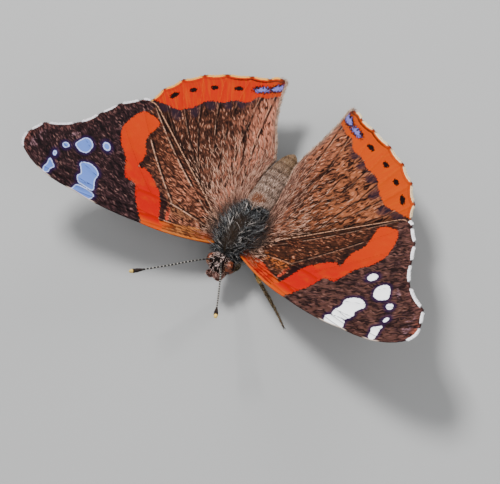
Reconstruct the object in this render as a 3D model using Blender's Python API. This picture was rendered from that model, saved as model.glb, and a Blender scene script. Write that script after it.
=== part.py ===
"""A red admiral butterfly, life size, standing with its wings spread: a still museum model.

The scene is in metres with +Z up. Sizes below are in millimetres and MM turns them to metres.
The insect faces -Y and its left side is +X. Places are measured from the middle of the thorax,
BODY_HEIGHT above the ground, and the finished model is moved so that its feet stand on z = 0 with
the middle of its box over the origin.

Each half is built for the left side, +X, and mirrored for the right.
"""

import math
from collections import namedtuple

import bmesh
import bpy
import numpy as np
from mathutils import Matrix, Vector
from mathutils.geometry import delaunay_2d_cdt

MM = 0.001
GAP = 0.3
BODY_HEIGHT = 4.7
SIDES = {"left": 1, "right": -1}

# Thorax: a rounded barrel with flat neck and waist faces, four flat wing hinges and two shoulder pads
THORAX_HALF = (2.4, 4.1, 2.25)
THORAX_MIDDLE_Y = -0.4
THORAX_ROUNDNESS = 2.2
THORAX_FRONT_Y = -3.95
THORAX_BACK_Y = 3.1
SHOULDER_MIDDLE = (1.7, -2.3, 1.35)
SHOULDER_HALF = (0.62, 1.2, 0.5)
HINGE_FACE_X = 2.6
HINGE_DEPTH = 1.2
HINGE_HEIGHT = 1.0

# Abdomen: two half ellipsoids of eight ringed segments, drooping a little to the tail
ABDOMEN_HALF_WIDTH = 2.1
ABDOMEN_HALF_HEIGHT = 1.95
ABDOMEN_WIDEST_Y = 7.4
ABDOMEN_FRONT_REACH = 5.3
ABDOMEN_BACK_REACH = 6.35
ABDOMEN_TIP_CUT = 0.12
ABDOMEN_FRONT_Z = -0.15
ABDOMEN_DROOP = 0.066
ABDOMEN_SEGMENTS = 8
SEGMENT_PROFILE = ((0.0, 0.95), (0.12, 0.985), (0.6, 1.015), (0.92, 1.02))

# Head: a ball as wide as deep, flat at the neck, with a hollow for each bulging eye
HEAD_MIDDLE = (0.0, -5.2, 0.05)
HEAD_HALF = (1.45, 1.25, 1.35)
EYE_MIDDLE = (1.45, -5.25, 0.12)
EYE_HALF = (0.78, 0.95, 1.02)

# Feelers, palps and tongue: where each leaves the head, as a direction from its middle
ANTENNA_ROOT = (0.52, -0.2, 0.8)
ANTENNA_CLUB_START = (5.75, -11.75, 5.85)
ANTENNA_TIP = (7.24, -13.65, 7.3)
ANTENNA_SAG = 0.2
ANTENNA_RADIUS = 0.25
CLUB_RADIUS = 0.5
PALP_ROOT = (0.5, -0.8, -0.6)
PALP_PATH = ((0.82, -7.02, -0.5), (0.74, -7.32, 0.1), (0.6, -7.35, 0.75))
PALP_RADII = (0.28, 0.33, 0.4, 0.38, 0.26)
TONGUE_ROOT = (0.0, -0.5, -0.85)
TONGUE_RADIUS = 0.25
TONGUE_COIL_RADIUS = 0.92
TONGUE_PITCH = 0.6
TONGUE_TURNS = 1.1
TONGUE_DROP = 0.95

# Legs: hip by its place along the thorax and its angle from straight down, then joint by joint.
# The right middle leg is drawn in under the wing, and its joints too are given for the left side
FOOT_FLAT = 0.19
FEMUR_RADIUS = 0.42
KNEE_RADIUS = 0.34
SHIN_RADIUS = 0.3
ANKLE_RADIUS = 0.27
TOE_RADIUS = 0.24
FOOT_Z = FOOT_FLAT - BODY_HEIGHT
STUB = 0.3
Leg = namedtuple("Leg", "hip_y hip_angle trochanter knee ankle heel toe")
HINDLEG = Leg(
    hip_y=1.2,
    hip_angle=32.0,
    trochanter=(1.75, 1.7, -2.7),
    knee=(4.7, 4.2, -1.5),
    ankle=(6.6, 7.7, -3.6),
    heel=(7.1, 8.7, FOOT_Z),
    toe=(7.9, 10.2, FOOT_Z),
)
LEGS = {
    "midleg_left": Leg(
        hip_y=-1.3,
        hip_angle=32.0,
        trochanter=(1.75, -1.75, -2.75),
        knee=(5.5, -4.55, -1.7),
        ankle=(8.75, -6.45, -3.45),
        heel=(9.75, -7.2, FOOT_Z),
        toe=(11.1, -8.1, FOOT_Z),
    ),
    "midleg_right": Leg(
        hip_y=-1.3,
        hip_angle=32.0,
        trochanter=(1.75, -1.75, -2.75),
        knee=(5.0, -2.0, -1.7),
        ankle=(7.5, -1.9, -3.45),
        heel=(8.2, -1.95, FOOT_Z),
        toe=(9.5, -2.0, FOOT_Z),
    ),
    "hindleg_left": HINDLEG,
    "hindleg_right": HINDLEG,
}
FORELEG_HIP_Y = -3.1
FORELEG_HIP_ANGLE = 34.0
FORELEG_PATH = ((1.08, -3.8, -2.75), (0.97, -4.5, -2.55), (0.88, -5.05, -2.25))
FORELEG_RADII = (0.3, 0.33, 0.31, 0.28, 0.2)

# Wings: seen from above, each is an outline with veins; its height is a tilted, gently bowed sheet
WING_THICKNESS = 0.5
ROOT_THICKNESS = 0.9
ROOT_FADE = 3.0
RIDGE_HEIGHT = 0.16
RIDGE_HALF_WIDTH = 0.38
VEIN_STEP = 2.0
EDGE_STEP = 1.3
FILL_STEP = 2.4
FILL_CLEARANCE = 1.08
EDGE_CLEARANCE = 0.19
ROOT_X = HINGE_FACE_X + GAP
SLIT_START = (3.3, -0.6)
SLIT_END = (21.0, 10.4)
UNDERLAP_FADE = (-1.0, 4.5)
GUTTER_X = 5.0
Wing = namedtuple(
    "Wing", "level rise pitch bow bow_middle bow_half dip gutter root front margin back veins"
)

# A vein is a parabola through three points. The outline runs from the root's front corner along
# parabolas (a point it passes, a point it reaches), then from vein end to vein end, each stretch
# bowed inwards by the depth given, and along parabolas again to the root's back corner.
FOREWING = Wing(
    level=-0.72,
    rise=0.296,
    pitch=-0.121,
    bow=0.4,
    bow_middle=1.5,
    bow_half=8.5,
    dip=0.0,
    gutter=0.0,
    root=((ROOT_X, -3.4), (ROOT_X, -1.1)),
    front=(
        ((7.4, -5.15), (12.4, -6.2)),
        ((17.6, -6.98), (22.5, -7.1)),
        ((27.4, -6.98), (31.2, -5.6)),
        ((32.15, -4.4), (32.2, -2.8)),
    ),
    margin=(
        ("media_1", 0.12),
        ("media_2", 0.35),
        ("media_3", 0.28),
        ("cubitus_1", 0.18),
        ("cubitus_2", 0.14),
    ),
    back=(
        ((21.5, 10.5), (20.2, 10.3)),
        ((12.1, 5.25), (3.9, 0.15)),
        ((3.25, -0.4), (ROOT_X, -1.1)),
    ),
    veins={
        "subcosta": ((3.4, -3.15), (10.0, -5.1), (17.4, -6.72)),
        "radial_stem": ((3.4, -2.7), (9.0, -4.0), (15.0, -4.6)),
        "radius_1": ((11.5, -4.4), (17.0, -5.95), (22.5, -6.95)),
        "radius_2": ((14.5, -4.6), (20.3, -6.0), (26.2, -6.93)),
        "radius_3": ((21.0, -5.2), (25.3, -6.1), (29.6, -6.4)),
        "radius_4": ((15.0, -4.6), (23.5, -5.2), (31.9, -5.0)),
        "radius_5": ((23.5, -5.2), (28.0, -4.4), (32.2, -2.8)),
        "media_1": ((15.0, -4.5), (22.8, -3.1), (31.3, -0.7)),
        "media_2": ((15.3, -3.5), (21.6, -1.6), (27.5, 1.85)),
        "media_3": ((15.0, -2.0), (20.7, 0.6), (25.9, 4.8)),
        "cell_end": ((15.0, -4.5), (15.5, -3.4), (15.0, -2.0)),
        "cubitus_stem": ((3.4, -2.2), (9.5, -1.5), (15.0, -2.0)),
        "cubitus_1": ((13.2, -1.7), (18.8, 2.3), (24.7, 7.5)),
        "cubitus_2": ((10.0, -1.5), (16.2, 3.6), (22.6, 9.9)),
        "anal_vein": ((3.4, -1.5), (11.6, 3.6), (20.9, 10.35)),
    },
)

HINDWING = Wing(
    level=-0.204,
    rise=0.112,
    pitch=0.122,
    bow=0.15,
    bow_middle=11.0,
    bow_half=12.0,
    dip=0.5,
    gutter=0.45,
    root=((ROOT_X, 0.3), (ROOT_X, 2.4)),
    front=(
        ((6.2, 0.4), (9.5, 1.3)),
        ((15.0, 4.6), (20.7, 9.0)),
        ((21.5, 9.9), (21.7, 10.9)),
    ),
    margin=(
        ("radius", 0.2),
        ("media_1", 0.3),
        ("media_2", 0.3),
        ("media_3", 0.25),
        ("cubitus_1", 0.22),
        ("cubitus_2", 0.15),
    ),
    back=(
        ((6.3, 21.8), (5.2, 21.3)),
        ((4.45, 18.0), (3.0, 14.5)),
        ((2.35, 13.0), (2.05, 11.4)),
        ((2.42, 8.3), (2.5, 4.6)),
        ((2.6, 3.4), (ROOT_X, 2.4)),
    ),
    veins={
        "subcosta": ((3.4, 0.8), (12.2, 3.9), (21.7, 10.9)),
        "radial_stem": ((3.4, 1.2), (7.0, 2.4), (10.2, 4.6)),
        "radius": ((7.0, 2.4), (14.4, 6.6), (21.1, 13.0)),
        "media_1": ((9.4, 3.9), (14.9, 9.5), (19.25, 15.5)),
        "media_2": ((10.2, 4.6), (13.9, 11.2), (16.7, 17.5)),
        "cubitus_stem": ((3.4, 1.7), (6.0, 4.6), (9.0, 7.4)),
        "media_3": ((9.0, 7.4), (11.9, 13.0), (13.7, 19.05)),
        "cubitus_1": ((8.0, 6.7), (9.8, 13.4), (10.2, 20.4)),
        "cubitus_2": ((5.5, 4.1), (7.0, 12.6), (7.7, 21.15)),
        "anal_vein": ((3.35, 2.3), (4.7, 11.0), (5.9, 21.4)),
    },
)

# Plain finishes: colour, roughness and metallic value
FINISHES = {
    "thorax": ((0.10, 0.085, 0.065), 0.85, 0.0),
    "abdomen": ((0.13, 0.09, 0.06), 0.8, 0.0),
    "head": ((0.11, 0.07, 0.05), 0.85, 0.0),
    "eye": ((0.16, 0.045, 0.03), 0.3, 0.0),
    "palp": ((0.14, 0.07, 0.045), 0.8, 0.0),
    "proboscis": ((0.07, 0.04, 0.02), 0.4, 0.0),
    "antenna": ((0.02, 0.018, 0.016), 0.5, 0.0),
    "leg": ((0.16, 0.11, 0.07), 0.6, 0.0),
    "forewing": ((0.55, 0.10, 0.03), 0.75, 0.0),
    "hindwing": ((0.12, 0.055, 0.04), 0.75, 0.0),
}


def clear_scene():
    """Remove every object of the open file."""
    for found in list(bpy.data.objects):
        bpy.data.objects.remove(found, do_unlink=True)


def collection(name):
    """A new collection in the scene."""
    made = bpy.data.collections.new(name)
    bpy.context.scene.collection.children.link(made)
    return made


def finish(name):
    """The plain material of one kind of piece, made once."""
    found = bpy.data.materials.get(name)
    if found:
        return found
    colour, roughness, metallic = FINISHES[name]
    made = bpy.data.materials.new(name)
    made.use_nodes = True
    surface = made.node_tree.nodes["Principled BSDF"]
    surface.inputs["Base Color"].default_value = (*colour, 1.0)
    surface.inputs["Roughness"].default_value = roughness
    surface.inputs["Metallic"].default_value = metallic
    return made


def object_from(bm, name, parts, material):
    """An object holding this bmesh, its faces turned outwards and shaded smooth."""
    bmesh.ops.recalc_face_normals(bm, faces=bm.faces)
    mesh = bpy.data.meshes.new(name)
    bm.to_mesh(mesh)
    bm.free()
    mesh.shade_smooth()
    mesh.materials.append(finish(material))
    made = bpy.data.objects.new(name, mesh)
    parts.objects.link(made)
    return made


def turn_over(piece):
    """Mirror a piece onto the insect's other side, with its faces still turned outwards."""
    bm = bmesh.new()
    bm.from_mesh(piece.data)
    bmesh.ops.transform(bm, matrix=Matrix.Scale(-1, 4, (1, 0, 0)), verts=bm.verts)
    bmesh.ops.reverse_faces(bm, faces=bm.faces)
    bm.to_mesh(piece.data)
    bm.free()


def mirrored(source, name, parts):
    """A copy of a piece on the insect's other side."""
    made = bpy.data.objects.new(name, source.data.copy())
    parts.objects.link(made)
    turn_over(made)
    return made


def evaluated_mesh(source):
    """The object's mesh with its modifiers applied."""
    graph = bpy.context.evaluated_depsgraph_get()
    return bpy.data.meshes.new_from_object(source.evaluated_get(graph))


def apply_boolean(target, operation, others):
    """Join or cut the target with the objects of a collection, then remove that collection."""
    modifier = target.modifiers.new(operation.lower(), "BOOLEAN")
    modifier.operation = operation
    modifier.operand_type = "COLLECTION"
    modifier.collection = others
    modifier.solver = "EXACT"
    target.data = evaluated_mesh(target)
    target.modifiers.clear()
    for used in list(others.objects):
        bpy.data.objects.remove(used, do_unlink=True)
    bpy.data.collections.remove(others)
    keep_largest_surface(target.data)


def keep_largest_surface(mesh):
    """Drop every closed surface of the mesh but the one with the most points."""
    bm = bmesh.new()
    bm.from_mesh(mesh)
    left = set(bm.verts)
    surfaces = []
    while left:
        found = {left.pop()}
        frontier = list(found)
        while frontier:
            vertex = frontier.pop()
            reached = {edge.other_vert(vertex) for edge in vertex.link_edges} & left
            left -= reached
            found |= reached
            frontier.extend(reached)
        surfaces.append(found)
    largest = max(surfaces, key=len)
    loose = [vertex for vertex in bm.verts if vertex not in largest]
    bmesh.ops.delete(bm, geom=loose, context="VERTS")
    bm.to_mesh(mesh)
    bm.free()


def through(start, middle, end, count):
    """Points of the parabola that passes through three points, at even steps of its parameter."""
    t = np.linspace(0.0, 1.0, count)[:, None]
    start, middle, end = (np.array(point, float) for point in (start, middle, end))
    return start * (1 - t) * (1 - 2 * t) + middle * 4 * t * (1 - t) + end * t * (2 * t - 1)


def smooth_path(points, steps):
    """A Catmull-Rom curve through the points, with this many steps to each span."""
    points = np.array(points, float)
    ends = np.vstack([2 * points[0] - points[1], points, 2 * points[-1] - points[-2]])
    path = []
    for i in range(len(points) - 1):
        a, b, c, d = ends[i : i + 4]
        for t in np.arange(steps) / steps:
            path.append(
                0.5 * (2 * b + (c - a) * t + (2 * a - 5 * b + 4 * c - d) * t**2
                       + (3 * b - a - 3 * c + d) * t**3)
            )
    return np.vstack([path, points[-1]])


def spread(radii, count):
    """These radii spaced evenly along a path of this many points."""
    return np.interp(np.linspace(0, 1, count), np.linspace(0, 1, len(radii)), radii)


def on_head(direction):
    """The point of the head's surface in this direction from its middle, and the normal there."""
    half = np.array(HEAD_HALF)
    ray = np.array(direction) / np.linalg.norm(np.array(direction) / half)
    normal = ray / half**2
    return np.array(HEAD_MIDDLE) + ray, normal / np.linalg.norm(normal)


def thorax_scale(y):
    """The thorax's width at this place along it, as a share of its greatest."""
    along = abs(y - THORAX_MIDDLE_Y) / THORAX_HALF[1]
    return (1 - along**THORAX_ROUNDNESS) ** (1 / THORAX_ROUNDNESS)


def on_thorax(y, angle):
    """The point of the thorax's left side at this angle from straight down, and its normal."""
    scale = thorax_scale(y)
    turn = math.radians(angle)
    x = THORAX_HALF[0] * scale * math.sin(turn)
    z = -THORAX_HALF[2] * scale * math.cos(turn)
    slope = (thorax_scale(y + 0.01) - thorax_scale(y - 0.01)) / 0.02
    normal = np.array([math.sin(turn), -slope * THORAX_HALF[0], -math.cos(turn)])
    return np.array([x, y, z]), normal / np.linalg.norm(normal)


def tube(name, points, radii, parts, material, bevel=2):
    """A tube of changing radius along the points, closed at both ends, cut flat at the ground."""
    data = bpy.data.curves.new(name, "CURVE")
    data.dimensions = "3D"
    data.bevel_depth = MM
    data.bevel_resolution = bevel
    data.use_fill_caps = True
    spline = data.splines.new("POLY")
    spline.points.add(len(points) - 1)
    for knot, point, radius in zip(spline.points, points, radii):
        knot.co = (*(np.array(point) * MM), 1.0)
        knot.radius = radius
    guide = bpy.data.objects.new(name + "_guide", data)
    parts.objects.link(guide)
    bm = bmesh.new()
    bm.from_mesh(evaluated_mesh(guide))
    bpy.data.objects.remove(guide, do_unlink=True)
    bmesh.ops.remove_doubles(bm, verts=bm.verts, dist=1e-7)
    for vertex in bm.verts:
        vertex.co.z = max(vertex.co.z, -BODY_HEIGHT * MM)
    return object_from(bm, name, parts, material)


def loft(name, rings, parts, material):
    """A closed skin over rings of equal count, with a flat face at each end."""
    bm = bmesh.new()
    loops = [[bm.verts.new(Vector(point) * MM) for point in ring] for ring in rings]
    for first, second in zip(loops, loops[1:]):
        for i in range(len(first)):
            j = (i + 1) % len(first)
            bm.faces.new((first[i], first[j], second[j], second[i]))
    bm.faces.new(loops[0])
    bm.faces.new(loops[-1])
    return object_from(bm, name, parts, material)


def ring(y, half_width, half_height, middle_z, count=24):
    """An ellipse of points across the body."""
    turn = np.arange(count) * 2 * math.pi / count
    x = half_width * np.sin(turn)
    z = middle_z + half_height * np.cos(turn)
    return np.stack([x, np.full(count, y), z], axis=1)


def ellipsoid(name, middle, half, parts, material, segments=24):
    """A ball stretched to these half sizes."""
    bm = bmesh.new()
    bmesh.ops.create_uvsphere(bm, u_segments=segments, v_segments=segments * 2 // 3, radius=1.0)
    place = Matrix.Translation(Vector(middle) * MM) @ Matrix.Diagonal((*(Vector(half) * MM), 1.0))
    bmesh.ops.transform(bm, matrix=place, verts=bm.verts)
    return object_from(bm, name, parts, material)


def wing_plane(wing, x, y):
    """Height of the wing's middle sheet: a tilted plane, bowed up, dipped where it is overlapped
    and turned down along the body."""
    bow = wing.bow * (1 - ((y - wing.bow_middle) / wing.bow_half) ** 2)
    along = np.array(SLIT_END) - np.array(SLIT_START)
    along = along / np.linalg.norm(along)
    behind = (y - SLIT_START[1]) * along[0] - (x - SLIT_START[0]) * along[1]
    share = np.clip((UNDERLAP_FADE[1] - behind) / (UNDERLAP_FADE[1] - UNDERLAP_FADE[0]), 0.0, 1.0)
    dip = wing.dip * share**2 * (3 - 2 * share)
    gutter = wing.gutter * np.clip((GUTTER_X - x) / (GUTTER_X - ROOT_X), 0.0, None) ** 2
    return wing.level + wing.rise * x + wing.pitch * y + bow - dip - gutter


def stretch(start, bend, end):
    """Points along one stretch of an outline, without its last."""
    count = max(2, round(math.dist(start, end) / EDGE_STEP)) + 1
    return list(through(start, bend, end, count)[:-1])


def rim_points(wing):
    """The outline seen from above, from the root's front corner round to its back corner."""
    here = wing.root[0]
    outline = []
    for bend, end in wing.front:
        outline += stretch(here, bend, end)
        here = end
    for vein, depth in wing.margin:
        end = wing.veins[vein][-1]
        inward = np.array([here[1] - end[1], end[0] - here[0]]) / math.dist(here, end)
        outline += stretch(here, (np.array(here) + np.array(end)) / 2 + inward * depth, end)
        here = end
    for bend, end in wing.back:
        outline += stretch(here, bend, end)
        here = end
    return np.array([*outline, here])


def vein_lines(wing):
    """The crest and the two feet of every vein's ridge, each a row of points seen from above."""
    lines = []
    for start, middle, end in wing.veins.values():
        length = np.linalg.norm(np.subtract(end, start))
        count = max(3, round(length / VEIN_STEP) + 1)
        crest = through(start, middle, end, count)
        heading = np.gradient(crest, axis=0)
        heading = heading / np.linalg.norm(heading, axis=1)[:, None]
        across = np.stack([-heading[:, 1], heading[:, 0]], axis=1) * RIDGE_HALF_WIDTH
        lines.append(crest)
        lines.append((crest + across)[:-1])
        lines.append((crest - across)[:-1])
    return lines


def distance_to_lines(points, lines):
    """Each point's distance to the nearest of the lines."""
    nearest = np.full(len(points), np.inf)
    for line in lines:
        for a, b in zip(line[:-1], line[1:]):
            span = b - a
            share = np.clip((points - a) @ span / (span @ span), 0.0, 1.0)
            gap = np.linalg.norm(points - a - share[:, None] * span, axis=1)
            nearest = np.minimum(nearest, gap)
    return nearest


def inside(points, outline):
    """Whether each point lies within the outline."""
    found = np.zeros(len(points), bool)
    for a, b in zip(outline, np.roll(outline, -1, axis=0)):
        crosses = (a[1] > points[:, 1]) != (b[1] > points[:, 1])
        if a[1] != b[1]:
            at = a[0] + (points[:, 1] - a[1]) * (b[0] - a[0]) / (b[1] - a[1])
            found ^= crosses & (points[:, 0] < at)
    return found


def fill_points(outline, lines):
    """A staggered grid of points that keep clear of the outline and the veins."""
    low, high = outline.min(axis=0), outline.max(axis=0)
    xs = np.arange(low[0], high[0], FILL_STEP)
    ys = np.arange(low[1], high[1], FILL_STEP)
    grid = np.array([(x + (j % 2) * FILL_STEP / 2, y) for j, y in enumerate(ys) for x in xs])
    closed = np.vstack([outline, outline[:1]])
    clear = distance_to_lines(grid, [closed, *lines]) > FILL_CLEARANCE
    return grid[clear & inside(grid, outline)]


def wing_sheet(wing):
    """The wing seen from above: its outline, and the points and triangles that fill it."""
    outline = rim_points(wing)
    lines = vein_lines(wing)
    closed = np.vstack([outline, outline[:1]])
    points = list(outline)
    edges = []
    for line in lines:
        clear = inside(line, outline) & (distance_to_lines(line, [closed]) > EDGE_CLEARANCE)
        kept = np.flatnonzero(clear)
        for place in range(len(kept) - 1):
            if kept[place + 1] == kept[place] + 1:
                edges.append((len(points) + place, len(points) + place + 1))
        points.extend(line[kept])
    points.extend(fill_points(outline, lines))
    made = delaunay_2d_cdt(
        [Vector(point) for point in points], edges, [list(range(len(outline)))], 1, 1e-4, False
    )
    flat = np.array([tuple(vertex) for vertex in made[0]])
    faces = np.array([tuple(face) for face in made[2]])
    faces = faces[inside(flat[faces].mean(axis=1), outline)]
    return outline, flat, faces


def wing_solid(name, wing, parts, material):
    """A membrane with the same triangles above and below, raised over each vein on both faces."""
    outline, flat, triangles = wing_sheet(wing)
    crests = [through(*vein, 24) for vein in wing.veins.values()]
    from_vein = distance_to_lines(flat, crests)
    from_edge = distance_to_lines(flat, [np.vstack([outline, outline[:1]])])
    ridge = RIDGE_HEIGHT * np.clip(1 - from_vein / RIDGE_HALF_WIDTH, 0.0, 1.0)
    from_root = np.clip((flat[:, 0] - ROOT_X) / ROOT_FADE, 0.0, 1.0)
    half = 0.5 * (ROOT_THICKNESS + (WING_THICKNESS - ROOT_THICKNESS) * from_root)
    ridge = ridge * np.clip(from_edge / RIDGE_HALF_WIDTH, 0.0, 1.0) * from_root
    middle = wing_plane(wing, flat[:, 0], flat[:, 1])
    bm = bmesh.new()
    above = [bm.verts.new(Vector((*p, z)) * MM) for p, z in zip(flat, middle + half + ridge)]
    below = [bm.verts.new(Vector((*p, z)) * MM) for p, z in zip(flat, middle - half - ridge)]
    for a, b, c in triangles:
        bm.faces.new((above[a], above[b], above[c]))
        bm.faces.new((below[c], below[b], below[a]))
    place = {vertex: index for index, vertex in enumerate(above)}
    open_edges = [edge for edge in bm.edges if edge.is_boundary and edge.verts[0] in place]
    for edge in open_edges:
        i, j = place[edge.verts[0]], place[edge.verts[1]]
        bm.faces.new((above[i], above[j], below[j]))
        bm.faces.new((above[i], below[j], below[i]))
    return object_from(bm, name, parts, material)


def hinge(wing, side, holder):
    """A block on the thorax's side whose flat face meets the wing's root."""
    (x, front), (_, back) = wing.root
    middle_y = (front + back) / 2
    middle_z = wing_plane(wing, x, middle_y)
    lift = abs(wing_plane(wing, x, front) - wing_plane(wing, x, back))
    bm = bmesh.new()
    bmesh.ops.create_cube(bm, size=1.0)
    size = (HINGE_DEPTH * MM, (back - front) * MM, (HINGE_HEIGHT + lift) * MM)
    middle = (side * (HINGE_FACE_X - HINGE_DEPTH / 2) * MM, middle_y * MM, middle_z * MM)
    place = Matrix.Translation(middle) @ Matrix.Diagonal((*size, 1.0))
    bmesh.ops.transform(bm, matrix=place, verts=bm.verts)
    return object_from(bm, "hinge", holder, "thorax")


def build_thorax(parts):
    """The barrel of the thorax with its four wing hinges and the pads over the forewings' roots."""
    ys = THORAX_MIDDLE_Y + THORAX_HALF[1] * np.sin(np.linspace(-1.06, 1.04, 15))
    ys[0], ys[-1] = THORAX_FRONT_Y, THORAX_BACK_Y
    rings = []
    for y in ys:
        scale = thorax_scale(y)
        rings.append(ring(y, THORAX_HALF[0] * scale, THORAX_HALF[2] * scale, 0.0))
    thorax = loft("thorax", rings, parts, "thorax")
    joined = collection("hinges_and_shoulders")
    for side in SIDES.values():
        hinge(FOREWING, side, joined)
        hinge(HINDWING, side, joined)
        middle = (side * SHOULDER_MIDDLE[0], SHOULDER_MIDDLE[1], SHOULDER_MIDDLE[2])
        ellipsoid("shoulder", middle, SHOULDER_HALF, joined, "thorax", segments=12)
    apply_boolean(thorax, "UNION", joined)


def abdomen_scale(y):
    """The abdomen's width at this place along it, as a share of its greatest."""
    reach = ABDOMEN_FRONT_REACH if y < ABDOMEN_WIDEST_Y else ABDOMEN_BACK_REACH
    return math.sqrt(1 - ((y - ABDOMEN_WIDEST_Y) / reach) ** 2)


def build_abdomen(parts):
    """Eight segments, each swelling towards its hind edge and pinched where the next begins."""
    front = THORAX_BACK_Y + GAP
    back = ABDOMEN_WIDEST_Y + ABDOMEN_BACK_REACH - ABDOMEN_TIP_CUT
    length = (back - front) / ABDOMEN_SEGMENTS
    rings = []
    for segment in range(ABDOMEN_SEGMENTS):
        for share, swell in SEGMENT_PROFILE:
            y = front + (segment + share) * length
            scale = abdomen_scale(y) * swell
            z = ABDOMEN_FRONT_Z - ABDOMEN_DROOP * (y - front)
            rings.append(ring(y, ABDOMEN_HALF_WIDTH * scale, ABDOMEN_HALF_HEIGHT * scale, z))
    z = ABDOMEN_FRONT_Z - ABDOMEN_DROOP * (back - front)
    scale = abdomen_scale(back)
    rings.append(ring(back, ABDOMEN_HALF_WIDTH * scale, ABDOMEN_HALF_HEIGHT * scale, z))
    loft("abdomen", rings, parts, "abdomen")


def build_head(parts):
    """The head, cut flat at the neck and hollowed round each eye, and the two eyes."""
    head = ellipsoid("head", HEAD_MIDDLE, HEAD_HALF, parts, "head")
    bm = bmesh.new()
    bm.from_mesh(head.data)
    cut = bmesh.ops.bisect_plane(
        bm,
        geom=bm.verts[:] + bm.edges[:] + bm.faces[:],
        plane_co=(0.0, (THORAX_FRONT_Y - GAP) * MM, 0.0),
        plane_no=(0.0, 1.0, 0.0),
        clear_outer=True,
    )
    neck = [found for found in cut["geom_cut"] if isinstance(found, bmesh.types.BMEdge)]
    bmesh.ops.holes_fill(bm, edges=neck)
    bmesh.ops.recalc_face_normals(bm, faces=bm.faces)
    bm.to_mesh(head.data)
    bm.free()
    hollows = collection("eye_hollows")
    for side in SIDES.values():
        middle = (side * EYE_MIDDLE[0], EYE_MIDDLE[1], EYE_MIDDLE[2])
        wide = [half + GAP for half in EYE_HALF]
        ellipsoid("eye_hollow", middle, wide, hollows, "head")
    apply_boolean(head, "DIFFERENCE", hollows)
    left = ellipsoid("eye_left", EYE_MIDDLE, EYE_HALF, parts, "eye", segments=18)
    mirrored(left, "eye_right", parts)


def build_feelers(parts):
    """The clubbed antennae and the two palps, left and mirrored right."""
    foot, normal = on_head(ANTENNA_ROOT)
    start = foot + normal * GAP
    club, tip = np.array(ANTENNA_CLUB_START), np.array(ANTENNA_TIP)
    first = start + normal * STUB
    middle = (first + club) / 2 + np.array([0.0, 0.0, -ANTENNA_SAG])
    shaft = [start, *through(first, middle, club, 9)]
    end = [club + (tip - club) * share for share in (0.3, 0.65, 0.9, 1.0)]
    radii = [ANTENNA_RADIUS] * 10 + [CLUB_RADIUS * share for share in (0.8, 1.0, 0.75, 0.3)]
    left = tube("antenna_left", [*shaft, *end], radii, parts, "antenna")
    mirrored(left, "antenna_right", parts)

    foot, normal = on_head(PALP_ROOT)
    start = foot + normal * GAP
    path = np.vstack([start, smooth_path([start + normal * STUB, *PALP_PATH], 2)])
    radii = spread(PALP_RADII, len(path))
    left = tube("palp_left", path, radii, parts, "palp")
    mirrored(left, "palp_right", parts)


def build_tongue(parts):
    """The tongue, which hangs from the face and is rolled up like a watch spring."""
    foot, normal = on_head(TONGUE_ROOT)
    start = foot + normal * GAP
    turn = np.linspace(0.0, 2 * math.pi * TONGUE_TURNS, 16)
    radius = TONGUE_COIL_RADIUS - TONGUE_PITCH * turn / (2 * math.pi)
    first = start + normal * STUB
    middle_y, middle_z = first[1] + TONGUE_COIL_RADIUS, start[2] - TONGUE_DROP
    y = middle_y - radius * np.cos(turn)
    z = middle_z - radius * np.sin(turn)
    path = [start, first, *np.stack([np.zeros(len(turn)), y, z], axis=1)]
    radii = [TONGUE_RADIUS] * len(path)
    tube("proboscis", path, radii, parts, "proboscis", bevel=1)


def build_leg(name, leg, parts):
    """A walking leg from hip to toe, its foot cut flat where it stands."""
    foot, normal = on_thorax(leg.hip_y, leg.hip_angle)
    start = foot + normal * GAP
    hip, knee, ankle = (np.array(joint) for joint in (leg.trochanter, leg.knee, leg.ankle))
    heel, toe = np.array(leg.heel), np.array(leg.toe)
    path = [
        start,
        start + normal * STUB,
        hip,
        hip + (knee - hip) * 0.35,
        hip + (knee - hip) * 0.75,
        knee,
        knee + (ankle - knee) * 0.15,
        knee + (ankle - knee) * 0.6,
        ankle,
        ankle + (heel - ankle) * 0.5,
        heel,
        (heel + toe) / 2,
        toe,
    ]
    radii = [FEMUR_RADIUS] * 4 + [FEMUR_RADIUS * 0.9, KNEE_RADIUS]
    radii += [SHIN_RADIUS, SHIN_RADIUS, ANKLE_RADIUS, ANKLE_RADIUS]
    radii += [TOE_RADIUS, TOE_RADIUS, TOE_RADIUS]
    made = tube(name, path, radii, parts, "leg")
    if name.endswith("right"):
        turn_over(made)


def build_forelegs(parts):
    """The short front legs, folded forward under the head and not used for walking."""
    foot, normal = on_thorax(FORELEG_HIP_Y, FORELEG_HIP_ANGLE)
    start = foot + normal * GAP
    path = np.vstack([start, smooth_path([start + normal * STUB, *FORELEG_PATH], 3)])
    radii = spread(FORELEG_RADII, len(path))
    left = tube("foreleg_left", path, radii, parts, "leg")
    mirrored(left, "foreleg_right", parts)


def build_wings(parts):
    """Forewings over hindwings, left and mirrored right."""
    for name, wing in (("forewing", FOREWING), ("hindwing", HINDWING)):
        left = wing_solid(name + "_left", wing, parts, name)
        mirrored(left, name + "_right", parts)


def stand_on_origin(parts):
    """Move the whole model so that its feet stand on z = 0, centred over the origin."""
    corners = np.array([vertex.co for piece in parts.objects for vertex in piece.data.vertices])
    low, high = corners.min(axis=0), corners.max(axis=0)
    shift = Vector((-(low[0] + high[0]) / 2, -(low[1] + high[1]) / 2, -low[2]))
    for piece in parts.objects:
        piece.location = shift


def main():
    clear_scene()
    parts = collection("red_admiral")
    build_thorax(parts)
    build_abdomen(parts)
    build_head(parts)
    build_feelers(parts)
    build_tongue(parts)
    build_forelegs(parts)
    for name, leg in LEGS.items():
        build_leg(name, leg, parts)
    build_wings(parts)
    stand_on_origin(parts)


main()
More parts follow.
